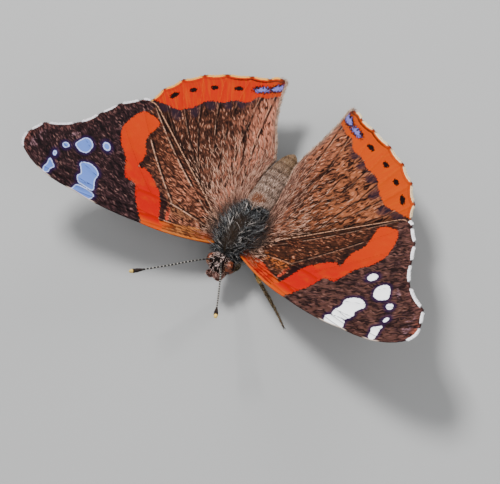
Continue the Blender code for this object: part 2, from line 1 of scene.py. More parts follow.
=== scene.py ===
"""Looks for a life-size model of a red admiral butterfly with its wings spread.

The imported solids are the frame, and every piece here rides on their one body. Shapes are worked out
in the insect's own frame, in millimetres: X to its left, Y towards its tail, Z up, from the middle
of the thorax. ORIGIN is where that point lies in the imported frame. Each half is made for the left
side and mirrored for the right.
"""

from collections import namedtuple

import bpy
import numpy as np
from mathutils import Matrix, Vector


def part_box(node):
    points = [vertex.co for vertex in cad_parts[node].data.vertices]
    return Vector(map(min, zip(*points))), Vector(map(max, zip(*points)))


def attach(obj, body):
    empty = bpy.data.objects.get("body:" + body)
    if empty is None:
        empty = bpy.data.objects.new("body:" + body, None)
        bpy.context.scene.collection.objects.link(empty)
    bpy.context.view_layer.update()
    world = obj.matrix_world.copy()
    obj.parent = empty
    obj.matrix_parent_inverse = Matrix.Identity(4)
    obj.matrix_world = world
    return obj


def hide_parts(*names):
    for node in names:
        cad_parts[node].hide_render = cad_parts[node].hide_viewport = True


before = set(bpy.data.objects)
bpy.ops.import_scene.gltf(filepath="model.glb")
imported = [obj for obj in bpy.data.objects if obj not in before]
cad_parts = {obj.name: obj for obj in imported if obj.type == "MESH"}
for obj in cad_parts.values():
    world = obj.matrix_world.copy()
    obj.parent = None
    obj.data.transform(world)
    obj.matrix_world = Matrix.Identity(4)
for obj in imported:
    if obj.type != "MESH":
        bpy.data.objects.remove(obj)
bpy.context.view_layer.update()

MM = 0.001
# The share of its colour that most surfaces give back, and the share that light specks do
REFLECTED = 0.55
LIT = 0.78
THORAX_FRONT_Y = -3.95
BODY_HEIGHT = 4.7
ORIGIN = np.array([0.0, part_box("thorax")[0].y / MM - THORAX_FRONT_Y, BODY_HEIGHT])
SIDES = {"left": 1.0, "right": -1.0}
SIDEWAYS = np.array([1.0, 0.0, 0.0])
UP = np.array([0.0, 0.0, 1.0])
TUBE_SIDES = 12

FAR = 9.0  # further from every point than any marking or vein needs
EDGE_STEPS = 24  # points along each parabola of an edge

ROOT_X = 1.9
RIM_HALF = 0.05  # half thickness of the membrane
ROOT_HALF = 0.3  # what the root adds to it
LEAD_WIDTH = 0.28  # of the rounded leading edge
VEIN_HEIGHT = 0.075
VEIN_WIDTH = 0.17
SAG = 0.11  # how far the membrane sinks between the veins
# The dark line beside each vein is painted shade, standing in for the shade beside the raised vein.
VEIN_SHADE_OFFSET = 0.19  # from a vein to the dark line beside it
FAN_SIZE = (17.0, 30.0)  # about a wing's width and length

# A wing: its sheet's height over the thorax's middle and its slopes in X and Y, how high it bows,
# where and how widely, its edges and veins seen from above, and its grid's size. Each edge starts
# at a point and runs along parabolas, given as a point that each passes and the point it reaches.
# A vein is one parabola, given as its start, a point it passes and its end.
Wing = namedtuple(
    "Wing", "level rise pitch bow bow_middle bow_half lead outer inner veins across along"
)

FOREWING = Wing(
    level=-0.85,
    rise=0.296,
    pitch=-0.121,
    bow=0.3,
    bow_middle=1.5,
    bow_half=8.5,
    lead=[
        (ROOT_X, -3.1),
        ((7.4, -5.15), (12.4, -6.2)),
        ((17.6, -6.98), (22.5, -7.1)),
        ((27.4, -6.98), (31.2, -5.6)),
    ],
    outer=[
        (31.2, -5.6),
        ((32.15, -4.4), (32.2, -2.8)),
        ((31.63, -1.79), (31.3, -0.7)),
        ((29.2, 0.32), (27.5, 1.85)),
        ((26.45, 3.2), (25.9, 4.8)),
        ((25.13, 6.09), (24.7, 7.5)),
        ((23.54, 8.61), (22.6, 9.9)),
        ((22.15, 10.3), (21.5, 10.5)),
    ],
    inner=[
        (ROOT_X, -1.2),
        ((3.1, -0.3), (3.9, 0.15)),
        ((12.1, 5.25), (20.2, 10.3)),
        ((20.9, 10.5), (21.5, 10.5)),
    ],
    veins={
        "subcosta": ((2.4, -2.95), (10.0, -5.2), (17.4, -6.95)),
        "radial_stem": ((2.4, -2.5), (9.0, -4.0), (15.0, -4.6)),
        "radius_1": ((11.5, -4.4), (17.0, -5.95), (22.5, -7.1)),
        "radius_2": ((14.5, -4.6), (20.3, -6.0), (26.2, -6.93)),
        "radius_3": ((21.0, -5.2), (25.3, -6.1), (29.6, -6.4)),
        "radius_4": ((15.0, -4.6), (23.5, -5.2), (31.9, -5.0)),
        "radius_5": ((23.5, -5.2), (28.0, -4.4), (32.2, -2.8)),
        "media_1": ((15.0, -4.5), (22.8, -3.1), (31.3, -0.7)),
        "media_2": ((15.3, -3.5), (21.6, -1.6), (27.5, 1.85)),
        "media_3": ((15.0, -2.0), (20.7, 0.6), (25.9, 4.8)),
        "cell_end": ((15.0, -4.5), (15.5, -3.4), (15.0, -2.0)),
        "cubitus_stem": ((2.4, -2.0), (9.5, -1.5), (15.0, -2.0)),
        "cubitus_1": ((13.2, -1.7), (18.8, 2.3), (24.7, 7.5)),
        "cubitus_2": ((10.0, -1.5), (16.2, 3.6), (22.6, 9.9)),
        "anal_vein": ((2.4, -1.4), (11.6, 3.6), (20.9, 10.35)),
    },
    across=132,
    along=168,
)

HINDWING = Wing(
    level=-0.204,
    rise=0.112,
    pitch=0.122,
    bow=0.15,
    bow_middle=11.0,
    bow_half=12.0,
    lead=[
        (ROOT_X, 0.2),
        ((6.2, 0.4), (9.5, 1.3)),
        ((15.0, 4.6), (20.7, 9.0)),
        ((21.2, 9.4), (21.5, 9.9)),
    ],
    outer=[
        (21.5, 9.9),
        ((21.72, 10.4), (21.7, 10.9)),
        ((21.22, 11.87), (21.1, 13.0)),
        ((19.94, 14.05), (19.25, 15.5)),
        ((17.79, 16.27), (16.7, 17.5)),
        ((15.09, 18.05), (13.7, 19.05)),
        ((11.86, 19.53), (10.2, 20.4)),
        ((8.91, 20.63), (7.7, 21.15)),
        ((6.95, 21.7), (6.2, 21.85)),
    ],
    inner=[
        (ROOT_X, 2.5),
        ((2.1, 3.4), (2.2, 4.6)),
        ((2.1, 8.3), (1.65, 11.4)),
        ((2.2, 13.0), (3.0, 14.5)),
        ((4.45, 18.0), (5.2, 21.3)),
        ((5.5, 21.8), (6.2, 21.85)),
    ],
    veins={
        "subcosta": ((2.4, 0.7), (12.2, 3.9), (21.7, 10.9)),
        "radial_stem": ((2.4, 1.1), (7.0, 2.4), (10.2, 4.6)),
        "radius": ((7.0, 2.4), (14.4, 6.6), (21.1, 13.0)),
        "media_1": ((9.4, 3.9), (14.9, 9.5), (19.25, 15.5)),
        "media_2": ((10.2, 4.6), (13.9, 11.2), (16.7, 17.5)),
        "cubitus_stem": ((2.4, 1.6), (6.0, 4.6), (9.0, 7.4)),
        "media_3": ((9.0, 7.4), (11.9, 13.0), (13.7, 19.05)),
        "cubitus_1": ((8.0, 6.7), (9.8, 13.4), (10.2, 20.4)),
        "cubitus_2": ((5.5, 4.1), (7.0, 12.6), (7.7, 21.15)),
        "anal_vein": ((2.6, 2.3), (4.7, 11.0), (5.9, 21.4)),
    },
    across=150,
    along=140,
)

TRAILING_DROOP = 0.25  # how far the forewing's hind edge is eased down
GUTTER = 0.6  # how steeply the hindwing turns down inside GUTTER_X
GUTTER_X = 5.0
GUTTER_WIDTH = 2.1
CREASE_DEPTH = 0.3
CREASE_WIDTH = 0.4
CREASE = [(3.2, 3.2), (4.48, 6.62), (5.48, 9.72), (6.71, 12.42), (7.28, 14.55), (7.47, 15.89)]

# Markings on the forewing, seen from above
BAND_OUTER = [
    (11.4, -7.0), (12.2, -5.9), (13.0, -5.15), (14.0, -4.1), (15.0, -3.0), (15.9, -1.65),
    (17.5, -1.5), (18.3, -0.4), (19.0, 0.8), (20.2, 1.9), (21.2, 2.8), (22.1, 4.6), (22.0, 6.6),
    (21.7, 7.8), (21.1, 8.5),
]
BAND_INNER = [
    (19.4, 8.55), (18.4, 7.85), (18.55, 5.8), (18.2, 4.2), (17.4, 3.3), (17.1, 2.0), (17.0, 0.8),
    (15.9, 1.0), (14.4, 0.4), (13.4, -0.4), (12.6, -0.85), (12.0, -1.65), (11.45, -2.3),
    (11.1, -3.0), (10.65, -3.85), (10.2, -4.5), (9.4, -5.0), (9.2, -6.6),
]
APEX_BEYOND = [(20.5, 9.4), (20.0, 12.0), (36.0, 12.0), (36.0, -9.0)]
COSTAL_STREAK = [
    (0.5, -2.0), (3.4, -2.0), (4.8, -2.3), (6.1, -2.85), (7.4, -3.45), (8.8, -3.98), (10.2, -4.42),
    (11.4, -5.2), (12.0, -7.2), (7.0, -6.2), (0.5, -4.2),
]
CELL_PATCH = [
    (9.25, -3.75), (9.5, -3.1), (9.8, -2.5), (10.1, -2.2), (10.35, -2.3), (10.15, -2.9),
    (9.85, -3.45), (9.55, -3.95),
]
CELL_NOTCH = [
    (9.65, -4.15), (10.1, -3.5), (10.45, -2.75), (10.55, -2.0), (11.0, -1.35), (11.9, -0.95),
    (12.5, -0.9), (12.0, -1.7), (11.4, -2.4), (11.05, -3.1), (10.6, -3.9), (10.1, -4.5),
]
LONG_BAR = [
    (20.6, -4.3), (20.6, -3.4), (21.2, -2.8), (22.3, -2.45), (23.2, -2.65), (23.75, -3.2),
    (23.3, -3.8), (22.85, -4.4), (23.05, -4.8), (22.8, -5.35), (22.35, -5.75), (21.6, -5.8),
    (20.15, -5.8), (20.05, -5.2),
]
SHORT_BAR = [
    (19.6, -6.05), (20.6, -5.92), (22.0, -5.95), (22.45, -6.3), (22.4, -7.4), (20.2, -7.4),
    (19.4, -6.6),
]
# Spots are ellipses: x, y, half length, half width and angle in degrees
WHITE_SPOTS = [
    (22.2, 0.92, 0.72, 0.5, 30.0),
    (26.85, -1.98, 0.5, 0.44, 10.0),
    (27.45, -3.8, 0.42, 0.28, 60.0),
]
BIG_SPOT = [
    (25.97, -1.08), (25.5, 0.2), (24.9, 0.63), (24.1, 0.35), (23.6, -0.4), (23.8, -1.3),
    (24.2, -1.6), (24.95, -1.66),
]
APICAL_BAR = [
    (26.35, -5.5), (27.5, -4.75), (27.5, -5.6), (27.55, -6.3), (27.3, -7.0), (26.6, -6.8),
    (26.5, -6.0),
]
LILAC_SPOTS = [
    (26.8, 0.1, 0.65, 0.3, 130.0),
    (30.35, -2.5, 0.7, 0.5, 60.0),
    (30.7, -4.0, 0.65, 0.5, 60.0),
]
TAWNY_BASE = [
    (3.6, -1.3), (5.8, -1.0), (8.0, -1.1), (10.1, -0.8), (10.0, -2.2), (8.8, -2.9), (6.6, -2.4),
    (4.8, -1.5),
]

# Markings on the hindwing, seen from above
BORDER_INNER = [
    (22.6, 10.8), (20.0, 11.05), (19.2, 11.15), (17.2, 11.4), (15.25, 13.0), (14.2, 14.35),
    (12.2, 15.05), (10.8, 16.1), (8.8, 16.75), (8.0, 18.0), (6.6, 18.5), (5.4, 19.3), (3.5, 19.6),
]
BORDER_BEYOND = [(3.5, 26.0), (26.0, 26.0), (26.0, 10.8)]
BLACK_DOTS = [
    (19.15, 12.85, 0.78, 0.36, -53.0),
    (17.0, 14.8, 0.62, 0.34, -38.0),
    (14.35, 16.5, 0.55, 0.36, -27.0),
    (11.1, 17.9, 0.72, 0.33, -21.0),
]
DARK_BLOTCHES = [
    (19.6, 10.6, 1.0, 0.5, 10.0),
    (17.5, 10.6, 1.1, 0.7, 30.0),
    (15.2, 12.2, 1.0, 0.7, 50.0),
    (13.6, 14.0, 1.0, 0.65, 20.0),
    (11.4, 15.2, 0.95, 0.6, 40.0),
    (9.6, 16.0, 0.8, 0.5, 20.0),
]
BLUE_PATCHES = [
    (6.0, 20.35, 0.85, 0.36, -38.0),
    (7.95, 19.2, 0.85, 0.34, -22.0),
]


def unit(vectors):
    """Each vector divided by its length."""
    return vectors / np.maximum(np.linalg.norm(vectors, axis=-1, keepdims=True), 1e-9)


def smooth(low, high, value):
    """A smooth step: 0 below low, 1 above high, t^2 (3 - 2t) between."""
    t = np.clip((value - low) / (high - low), 0.0, 1.0)
    return t * t * (3 - 2 * t)


def parabola(start, middle, end, count):
    """Points start(1-t)(1-2t) + middle 4t(1-t) + end t(2t-1) at even steps of t from 0 to 1."""
    t = np.linspace(0.0, 1.0, count)[:, None]
    start, middle, end = (np.array(point, float) for point in (start, middle, end))
    return start * (1 - t) * (1 - 2 * t) + middle * 4 * t * (1 - t) + end * t * (2 * t - 1)


def edge_line(edge, count=EDGE_STEPS):
    """A wing's edge as one row of points: the parabolas between the points of its description."""
    ends = [edge[0]] + [end for _, end in edge[1:]]
    spans = [
        parabola(start, bend, end, count)[:-1] for start, (bend, end) in zip(ends, edge[1:])
    ]
    return np.vstack([*spans, ends[-1]])


def curve_through(points, steps, closed=False):
    """Catmull-Rom curve: between b and c, with neighbours a and d, the point at share t is
    half of 2b + (c - a)t + (2a - 5b + 4c - d)t^2 + (3b - a - 3c + d)t^3."""
    points = np.array(points, float)
    if closed:
        a, b, c, d = (np.roll(points, shift, axis=0) for shift in (1, 0, -1, -2))
    else:
        ends = np.vstack([2 * points[0] - points[1], points, 2 * points[-1] - points[-2]])
        a, b, c, d = ends[:-3], ends[1:-2], ends[2:-1], ends[3:]
    a, b, c, d = (row[:, None, :] for row in (a, b, c, d))
    t = (np.arange(steps) / steps)[None, :, None]
    curve = 0.5 * (
        2 * b + (c - a) * t + (2 * a - 5 * b + 4 * c - d) * t**2 + (3 * b - a - 3 * c + d) * t**3
    )
    curve = curve.reshape(-1, points.shape[1])
    return curve if closed else np.vstack([curve, points[-1]])


def reach_of(line):
    """How far along a line each of its points is: the running sum of its segments' lengths."""
    return np.concatenate([[0.0], np.cumsum(np.linalg.norm(np.diff(line, axis=0), axis=1))])


def along_line(line, shares):
    """The points of a line at these shares of its length."""
    reach = reach_of(line)
    at = np.asarray(shares) * reach[-1]
    return np.stack([np.interp(at, reach, line[:, k]) for k in range(line.shape[1])], axis=-1)


def nearest(points, line):
    """Seen from above, each point's distance to the nearest segment of a line, and the share of the
    line's length where that is: the least of |p - a - clip((p - a).s / s.s) s| over the segments
    from a to a + s."""
    starts, spans = line[:-1], np.diff(line, axis=0)
    lengths = np.linalg.norm(spans, axis=1)
    away = points[:, None, :] - starts
    share = np.clip((away * spans).sum(2) / np.maximum(lengths**2, 1e-12), 0.0, 1.0)
    gaps = np.linalg.norm(away - share[..., None] * spans, axis=2)
    best = gaps.argmin(axis=1)
    rows = np.arange(len(points))
    reach = np.concatenate([[0.0], np.cumsum(lengths)])
    place = (reach[best] + share[rows, best] * lengths[best]) / reach[-1]
    return gaps[rows, best], place


def depth_inside(points, outline):
    """Distance to a closed outline, positive inside it and negative outside, by counting the
    outline's crossings of the ray that runs in +X from each point."""
    ends = np.roll(outline, -1, axis=0)
    x, y = points[:, :1], points[:, 1:2]
    rise = np.where(ends[:, 1] == outline[:, 1], 1e-9, ends[:, 1] - outline[:, 1])
    crosses = (outline[:, 1] > y) != (ends[:, 1] > y)
    at = outline[:, 0] + (y - outline[:, 1]) * (ends[:, 0] - outline[:, 0]) / rise
    within = (crosses & (x < at)).sum(axis=1) % 2 == 1
    gap, _ = nearest(points, np.vstack([outline, outline[:1]]))
    return np.where(within, gap, -gap)


def depth_in_spots(points, spots):
    """The greatest depth inside any of the ellipses (x, y, half length, half width, angle): for
    each, (1 - |q|) times its half width, with q the point in the ellipse's own half sizes."""
    depth = np.full(len(points), -FAR)
    for x, y, half_length, half_width, angle in spots:
        turn = np.radians(angle)
        away = points - (x, y)
        length = (away[:, 0] * np.cos(turn) + away[:, 1] * np.sin(turn)) / half_length
        width = (away[:, 1] * np.cos(turn) - away[:, 0] * np.sin(turn)) / half_width
        depth = np.maximum(depth, (1 - np.hypot(length, width)) * half_width)
    return depth


def placed(name, data):
    """A new object with this data, in the scene."""
    made = bpy.data.objects.new(name, data)
    bpy.context.scene.collection.objects.link(made)
    return made


def piece(name, points, faces, finishes, slot, replaced=(), values=None, maps=None, finish_of=None):
    """A piece of the model from arrays: points in the insect's frame, faces as arrays of corner
    numbers, values as one number per point, maps as one pair per point, and finish_of as one
    finish's number per face. A closed shape that has come out inside out, as a mirrored one does,
    has its faces turned round: there the sum of a.(b x c) over its first faces is negative."""
    triangles = [faces[0][:, [0, k, k + 1]] for k in range(1, faces[0].shape[1] - 1)]
    a, b, c = (points[np.vstack(triangles)[:, k]] for k in range(3))
    if (a * np.cross(b, c)).sum() < 0:
        faces = [rows[:, ::-1] for rows in faces]
    corners = np.concatenate([rows.ravel() for rows in faces]).astype(np.int32)
    sizes = np.concatenate([np.full(len(rows), rows.shape[1]) for rows in faces])
    mesh = bpy.data.meshes.new(name)
    mesh.vertices.add(len(points))
    mesh.vertices.foreach_set("co", ((points + ORIGIN) * MM).astype(np.float32).ravel())
    mesh.loops.add(len(corners))
    mesh.loops.foreach_set("vertex_index", corners)
    mesh.polygons.add(len(sizes))
    starts = np.concatenate([[0], np.cumsum(sizes)[:-1]]).astype(np.int32)
    mesh.polygons.foreach_set("loop_start", starts)
    if finish_of is not None:
        mesh.polygons.foreach_set("material_index", finish_of.astype(np.int32))
    mesh.update(calc_edges=True)
    for title, numbers in (values or {}).items():
        layer = mesh.attributes.new(title, "FLOAT", "POINT")
        layer.data.foreach_set("value", np.asarray(numbers, np.float32).ravel())
    for title, pairs in (maps or {}).items():
        layer = mesh.uv_layers.new(name=title)
        layer.uv.foreach_set("vector", np.asarray(pairs, np.float32)[corners].ravel())
    mesh.shade_smooth()
    for finish in finishes:
        mesh.materials.append(finish)
    made = placed(name, mesh)
    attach(made, "root")
    if replaced:
        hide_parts(*replaced)


def pair(name, points, faces, finishes, slot, node, **more):
    """The same piece on both sides, over each side's node. The right one is mirrored in X."""
    for side, sign in SIDES.items():
        turned = points * (sign, 1, 1)
        piece(name.format(side), turned, faces, finishes, slot, [node.format(side)], **more)


def grid_faces(rows, columns):
    """The four-cornered faces of a grid of points numbered row by row."""
    corner = np.arange(rows - 1)[:, None] * columns + np.arange(columns - 1)
    around = [corner, corner + columns, corner + columns + 1, corner + 1]
    return np.stack(around, axis=-1).reshape(-1, 4)


def closed_skin(rings):
    """A closed surface over rings of points, each end drawn together at the middle of its ring."""
    count, sides, _ = rings.shape
    ring = np.arange(count - 1)[:, None] * sides
    here, after = np.arange(sides), (np.arange(sides) + 1) % sides
    beyond = ring + sides
    sheet = np.stack([ring + here, ring + after, beyond + after, beyond + here], axis=-1)
    last = (count - 1) * sides
    start, end = np.full(sides, count * sides), np.full(sides, count * sides + 1)
    caps = np.vstack(
        [np.stack([start, after, here], axis=1), np.stack([end, last + here, last + after], axis=1)]
    )
    points = np.vstack([rings.reshape(-1, 3), rings[0].mean(axis=0), rings[-1].mean(axis=0)])
    return points, [sheet.reshape(-1, 4), caps]


def ring_values(numbers, sides):
    """One number for each ring of a closed skin, as one for each of its points and both ends."""
    return np.concatenate([np.repeat(numbers, sides), [numbers[0], numbers[-1]]])


def tube_rings(path, radii, across, sides):
    """Rings of points about a path: at each point, p + r (cos a . side + sin a . up), where side is
    square to the path and to the direction across, and up is square to both."""
    heading = unit(np.gradient(path, axis=0))
    side = unit(np.cross(heading, np.broadcast_to(across, path.shape)))
    up = np.cross(side, heading)
    turn = np.arange(sides) * 2 * np.pi / sides
    spokes = np.cos(turn)[None, :, None] * side[:, None] + np.sin(turn)[None, :, None] * up[:, None]
    return path[:, None] + np.asarray(radii)[:, None, None] * spokes


def on_grid(grid, i, j):
    """The grid's value at fractional row i and column j, blended from the four points around it."""
    i = np.clip(i, 0, grid.shape[0] - 1.001)
    j = np.clip(j, 0, grid.shape[1] - 1.001)
    a, b = i.astype(int), j.astype(int)
    s, t = i - a, j - b
    if grid.ndim == 3:
        s, t = s[:, None], t[:, None]
    low = grid[a, b] * (1 - t) + grid[a, b + 1] * t
    high = grid[a + 1, b] * (1 - t) + grid[a + 1, b + 1] * t
    return low * (1 - s) + high * s


def scatter(grid, density, count, rng):
    """Fractional rows and columns of random points on a surface, spread by area times density."""
    down, right = grid[1:, :-1] - grid[:-1, :-1], grid[:-1, 1:] - grid[:-1, :-1]
    weight = np.linalg.norm(np.cross(down, right), axis=2) * density[:-1, :-1]
    chosen = rng.choice(weight.size, size=count, p=(weight / weight.sum()).ravel())
    i, j = np.divmod(chosen, weight.shape[1])
    return i + rng.random(count), j + rng.random(count)


def surface_frame(grid, i, j):
    """The point at these places of a surface, its directions from row to row and along a row, each
    between points 0.6 of a step to both sides, and its normal."""
    point = on_grid(grid, i, j)
    down = unit(on_grid(grid, i + 0.6, j) - on_grid(grid, i - 0.6, j))
    right = unit(on_grid(grid, i, j + 0.6) - on_grid(grid, i, j - 0.6))
    return point, down, right, unit(np.cross(down, right))


def spot(across, down):
    """Places on a skin's unwrap, given as shares of its sides and kept 0.05 clear of its edges."""
    return np.stack([across, down], axis=1) * 0.9 + 0.05


def either(chosen, first, second, rng):
    """Random numbers, from the first range where chosen and from the second elsewhere."""
    return np.where(chosen, rng.uniform(*first, len(chosen)), rng.uniform(*second, len(chosen)))


# A hair's three rings, as shares of its length and width, and the corners of each: the turn about
# its middle line and the height over it. A tenth point is its tip.
HAIR_RINGS = ((0.0, 0.8), (0.35, 1.0), (0.72, 0.6))
HAIR_CORNERS = ((0.0, 0.0), (2.1, 0.5), (4.2, -0.5))
HAIR_POINTS = 10
HAIR_PATCH = 0.0015
OFF_AXIS = np.array([0.31, 0.17, 0.93])


def hairs(root, start, finish, length, width, place):
    """Tapered three-sided hairs with flat sections. The middle line is root + L (t start + t^2/2
    (finish - start)), so a hair leaves along start and ends along finish. place is each root's spot
    on the skin's unwrap, where each hair reaches HAIR_PATCH to every side. Gives points, faces,
    unwrap and each point's share of its hair."""
    count = len(root)
    side = unit(np.cross(start, finish + 1e-3 * OFF_AXIS))
    rings, maps, shares = [], [], []
    for share, swell in HAIR_RINGS:
        middle = root + length[:, None] * (share * start + 0.5 * share**2 * (finish - start))
        heading = unit(start + share * (finish - start))
        up = np.cross(side, heading)
        for turn, height in HAIR_CORNERS:
            spoke = side * np.cos(turn) + up * height
            rings.append(middle + spoke * (width * swell)[:, None])
            maps.append(place + HAIR_PATCH * np.array([np.cos(turn), 2 * share - 1]))
            shares.append(np.full(count, share))
    rings.append(root + length[:, None] * (start + 0.5 * (finish - start)))
    maps.append(place + np.array([0.0, HAIR_PATCH]))
    shares.append(np.full(count, 1.0))
    points = np.stack(rings, axis=1).reshape(-1, 3)
    first = (np.arange(count) * HAIR_POINTS)[:, None, None]
    k, after = np.arange(3), (np.arange(3) + 1) % 3
    sheet = np.stack([k, after, after + 3, k + 3], axis=1)
    sheet = (first + np.vstack([sheet, sheet + 3])[None]).reshape(-1, 4)
    tip = np.full(3, HAIR_POINTS - 1)
    ends = np.vstack([np.stack([6 + k, 6 + after, tip], axis=1), [[2, 1, 0]]])
    ends = (first + ends[None]).reshape(-1, 3)
    maps = np.stack(maps, axis=1).reshape(-1, 2)
    return points, [sheet, ends], maps, np.stack(shares, axis=1).ravel()


def coat(name, sign, made, values, finish, slot):
    """A piece made of hairs, on the side of this sign, with one value of each kind for a hair."""
    points, faces, unwrap, tips = made
    values = {title: np.repeat(numbers, HAIR_POINTS) for title, numbers in values.items()}
    values["tip"] = tips
    maps = {"OFBake": unwrap}
    piece(name, points * (sign, 1, 1), faces, [finish], slot, values=values, maps=maps)


def wing_height(wing, plan):
    """Height of a wing's middle sheet at points seen from above: a tilted plane bowed across, with
    the forewing's hind edge eased down onto the hindwing, and the hindwing turned down along the
    body and folded along its crease."""
    x, y = plan[:, 0], plan[:, 1]
    z = wing.level + wing.rise * x + wing.pitch * y
    z = z + wing.bow * (1 - ((y - wing.bow_middle) / wing.bow_half) ** 2)
    if wing is FOREWING:
        from_hind_edge, _ = nearest(plan, edge_line(wing.inner, 8))
        droop = TRAILING_DROOP * np.clip((x - 3.0) / 5.0, 0.0, 1.0)
        return z - droop * np.clip(1 - from_hind_edge / 4.0, 0.0, 1.0) ** 2
    z = z - GUTTER * np.clip((GUTTER_X - x) / GUTTER_WIDTH, 0.0, None) ** 2
    from_crease, share = nearest(plan, curve_through(CREASE, 6))
    fade = np.sin(np.pi * np.clip(share * 0.85 + 0.12, 0.0, 1.0))
    return z - CREASE_DEPTH * fade * np.exp(-((from_crease / CREASE_WIDTH) ** 2))


def wing_grid(wing):
    """The wing seen from above as a grid between its four edges: (1-u) lead + u inner +
    (1-v) root + v outer, less the blend of the four corners. u runs across the wing from its
    leading edge, closer together at both edges, and v from the root outwards."""
    s = np.linspace(0.0, 1.0, wing.across)
    u = (0.6 * s + 0.4 * (0.5 - 0.5 * np.cos(np.pi * s)))[:, None, None]
    v = np.linspace(0.0, 1.0, wing.along)[None, :, None]
    lead = along_line(edge_line(wing.lead), v[0, :, 0])[None]
    inner = along_line(edge_line(wing.inner), v[0, :, 0])[None]
    outer = along_line(edge_line(wing.outer), u[:, 0, 0])[:, None]
    root = lead[:, :1] * (1 - u) + inner[:, :1] * u
    corners = (1 - u) * (1 - v) * lead[:, :1] + u * (1 - v) * inner[:, :1]
    corners = corners + (1 - u) * v * lead[:, -1:] + u * v * inner[:, -1:]
    plan = (1 - u) * lead + u * inner + (1 - v) * root + v * outer - corners
    return plan, u[:, 0, 0], v[0, :, 0]


def wing_shape(wing):
    """Upper and lower surfaces of a wing, as grids, with the distances that its markings follow and
    two maps: Fan, with u and v times FAN_SIZE, and Lie, with millimetres across and along the wing.
    The half thickness is RIM_HALF over the membrane, more at the root and along the leading edge,
    raised by VEIN_HEIGHT exp(-(d / VEIN_WIDTH)^2) at distance d from a vein, and nil at the rim.
    The sheet sinks by SAG between the veins."""
    plan, u, v = wing_grid(wing)
    flat = plan.reshape(-1, 2)
    vein, furrow = np.full(len(flat), FAR), np.full(len(flat), FAR)
    for start, middle, end in wing.veins.values():
        line = parabola(start, middle, end, EDGE_STEPS)
        heading = unit(np.gradient(line, axis=0))
        # A line at a fixed offset beside each vein: the wings draw a painted shade line along it.
        beside = line + VEIN_SHADE_OFFSET * np.stack([-heading[:, 1], heading[:, 0]], axis=1)
        vein = np.minimum(vein, nearest(flat, line)[0])
        furrow = np.minimum(furrow, nearest(flat, beside)[0])
    rim, rim_share = nearest(flat, edge_line(wing.outer, 12))
    lead, lead_share = nearest(flat, edge_line(wing.lead, 12))
    from_root = np.clip((flat[:, 0] - ROOT_X) / 4.0, 0.0, 1.0)
    half = RIM_HALF + ROOT_HALF * (1 - from_root) ** 3
    stout = 0.17 * (1 - 0.75 * lead_share) if wing is FOREWING else 0.08
    half = half + stout * np.exp(-((lead / LEAD_WIDTH) ** 2))
    at_edge = smooth(0.0, 0.5, rim)
    half = half + VEIN_HEIGHT * np.exp(-((vein / VEIN_WIDTH) ** 2)) * at_edge
    sunk = SAG * (1 - np.exp(-vein / 0.7)) * from_root * smooth(0.0, 1.5, rim)
    middle = wing_height(wing, flat) - sunk
    shape = plan.shape[:2]
    inner_place = np.zeros(shape)
    inner_place[1:-1, 1:-1] = 1.0
    half = half.reshape(shape) * inner_place
    middle = middle.reshape(shape)
    upper = np.concatenate([plan, (middle + half)[..., None]], axis=2)
    lower = np.concatenate([plan, (middle - half)[..., None]], axis=2)
    measures = {"vein": vein, "furrow": furrow, "rim": rim, "rim_share": rim_share, "lead": lead}
    fan = np.stack(
        np.broadcast_arrays(u[:, None] * FAN_SIZE[0], v[None] * FAN_SIZE[1]), axis=-1
    )
    across, along = np.zeros(shape), np.zeros(shape)
    across[1:] = np.cumsum(np.linalg.norm(np.diff(upper, axis=0), axis=2), axis=0)
    along[:, 1:] = np.cumsum(np.linalg.norm(np.diff(upper, axis=1), axis=2), axis=1)
    lie = np.stack([across - across[-1] / 2, along], axis=-1)
    return upper, lower, flat, measures, {"Fan": fan, "Lie": lie}


def white_on_margin(wing, share):
    """How white the fringe is at each share of the outer margin: full in the hollows between the
    vein ends and nil at the ends, as the square of a sine between neighbouring ends."""
    ends = np.array([end for _, end in wing.outer[1:]])
    _, stops = nearest(ends, edge_line(wing.outer, 12))
    stops = np.concatenate([[0.0], stops])
    between = np.clip(np.searchsorted(stops, share) - 1, 0, len(stops) - 2)
    within = (share - stops[between]) / np.maximum(stops[between + 1] - stops[between], 1e-6)
    return np.sin(np.pi * np.clip(within, 0.0, 1.0)) ** 2


def forewing_marks(flat, measures):
    """Each point's depth inside the forewing's markings and distance to its lines, in millimetres,
    and the fringe's whiteness."""
    band = curve_through(BAND_OUTER + BAND_INNER, 6, closed=True)
    outer = np.vstack([curve_through(BAND_OUTER, 6), APEX_BEYOND])
    pale = depth_in_spots(flat, WHITE_SPOTS)
    for outline in (LONG_BAR, SHORT_BAR, BIG_SPOT, APICAL_BAR):
        pale = np.maximum(pale, depth_inside(flat, curve_through(outline, 5, closed=True)))
    return {
        "band": depth_inside(flat, band),
        "apex": depth_inside(flat, outer),
        "pale": pale,
        "lilac": depth_in_spots(flat, LILAC_SPOTS),
        "tint": depth_inside(flat, curve_through(TAWNY_BASE, 4, closed=True)),
        "hind": nearest(flat, edge_line(FOREWING.inner, 8))[0],
        "streak": depth_inside(flat, curve_through(COSTAL_STREAK, 4, closed=True)),
        "patch": depth_inside(flat, curve_through(CELL_PATCH, 4, closed=True)),
        "notch": depth_inside(flat, curve_through(CELL_NOTCH, 4, closed=True)),
        "vein": measures["vein"],
        "furrow": measures["furrow"],
        "rim": measures["rim"],
        "lead": measures["lead"],
        "white": white_on_margin(FOREWING, measures["rim_share"]),
    }


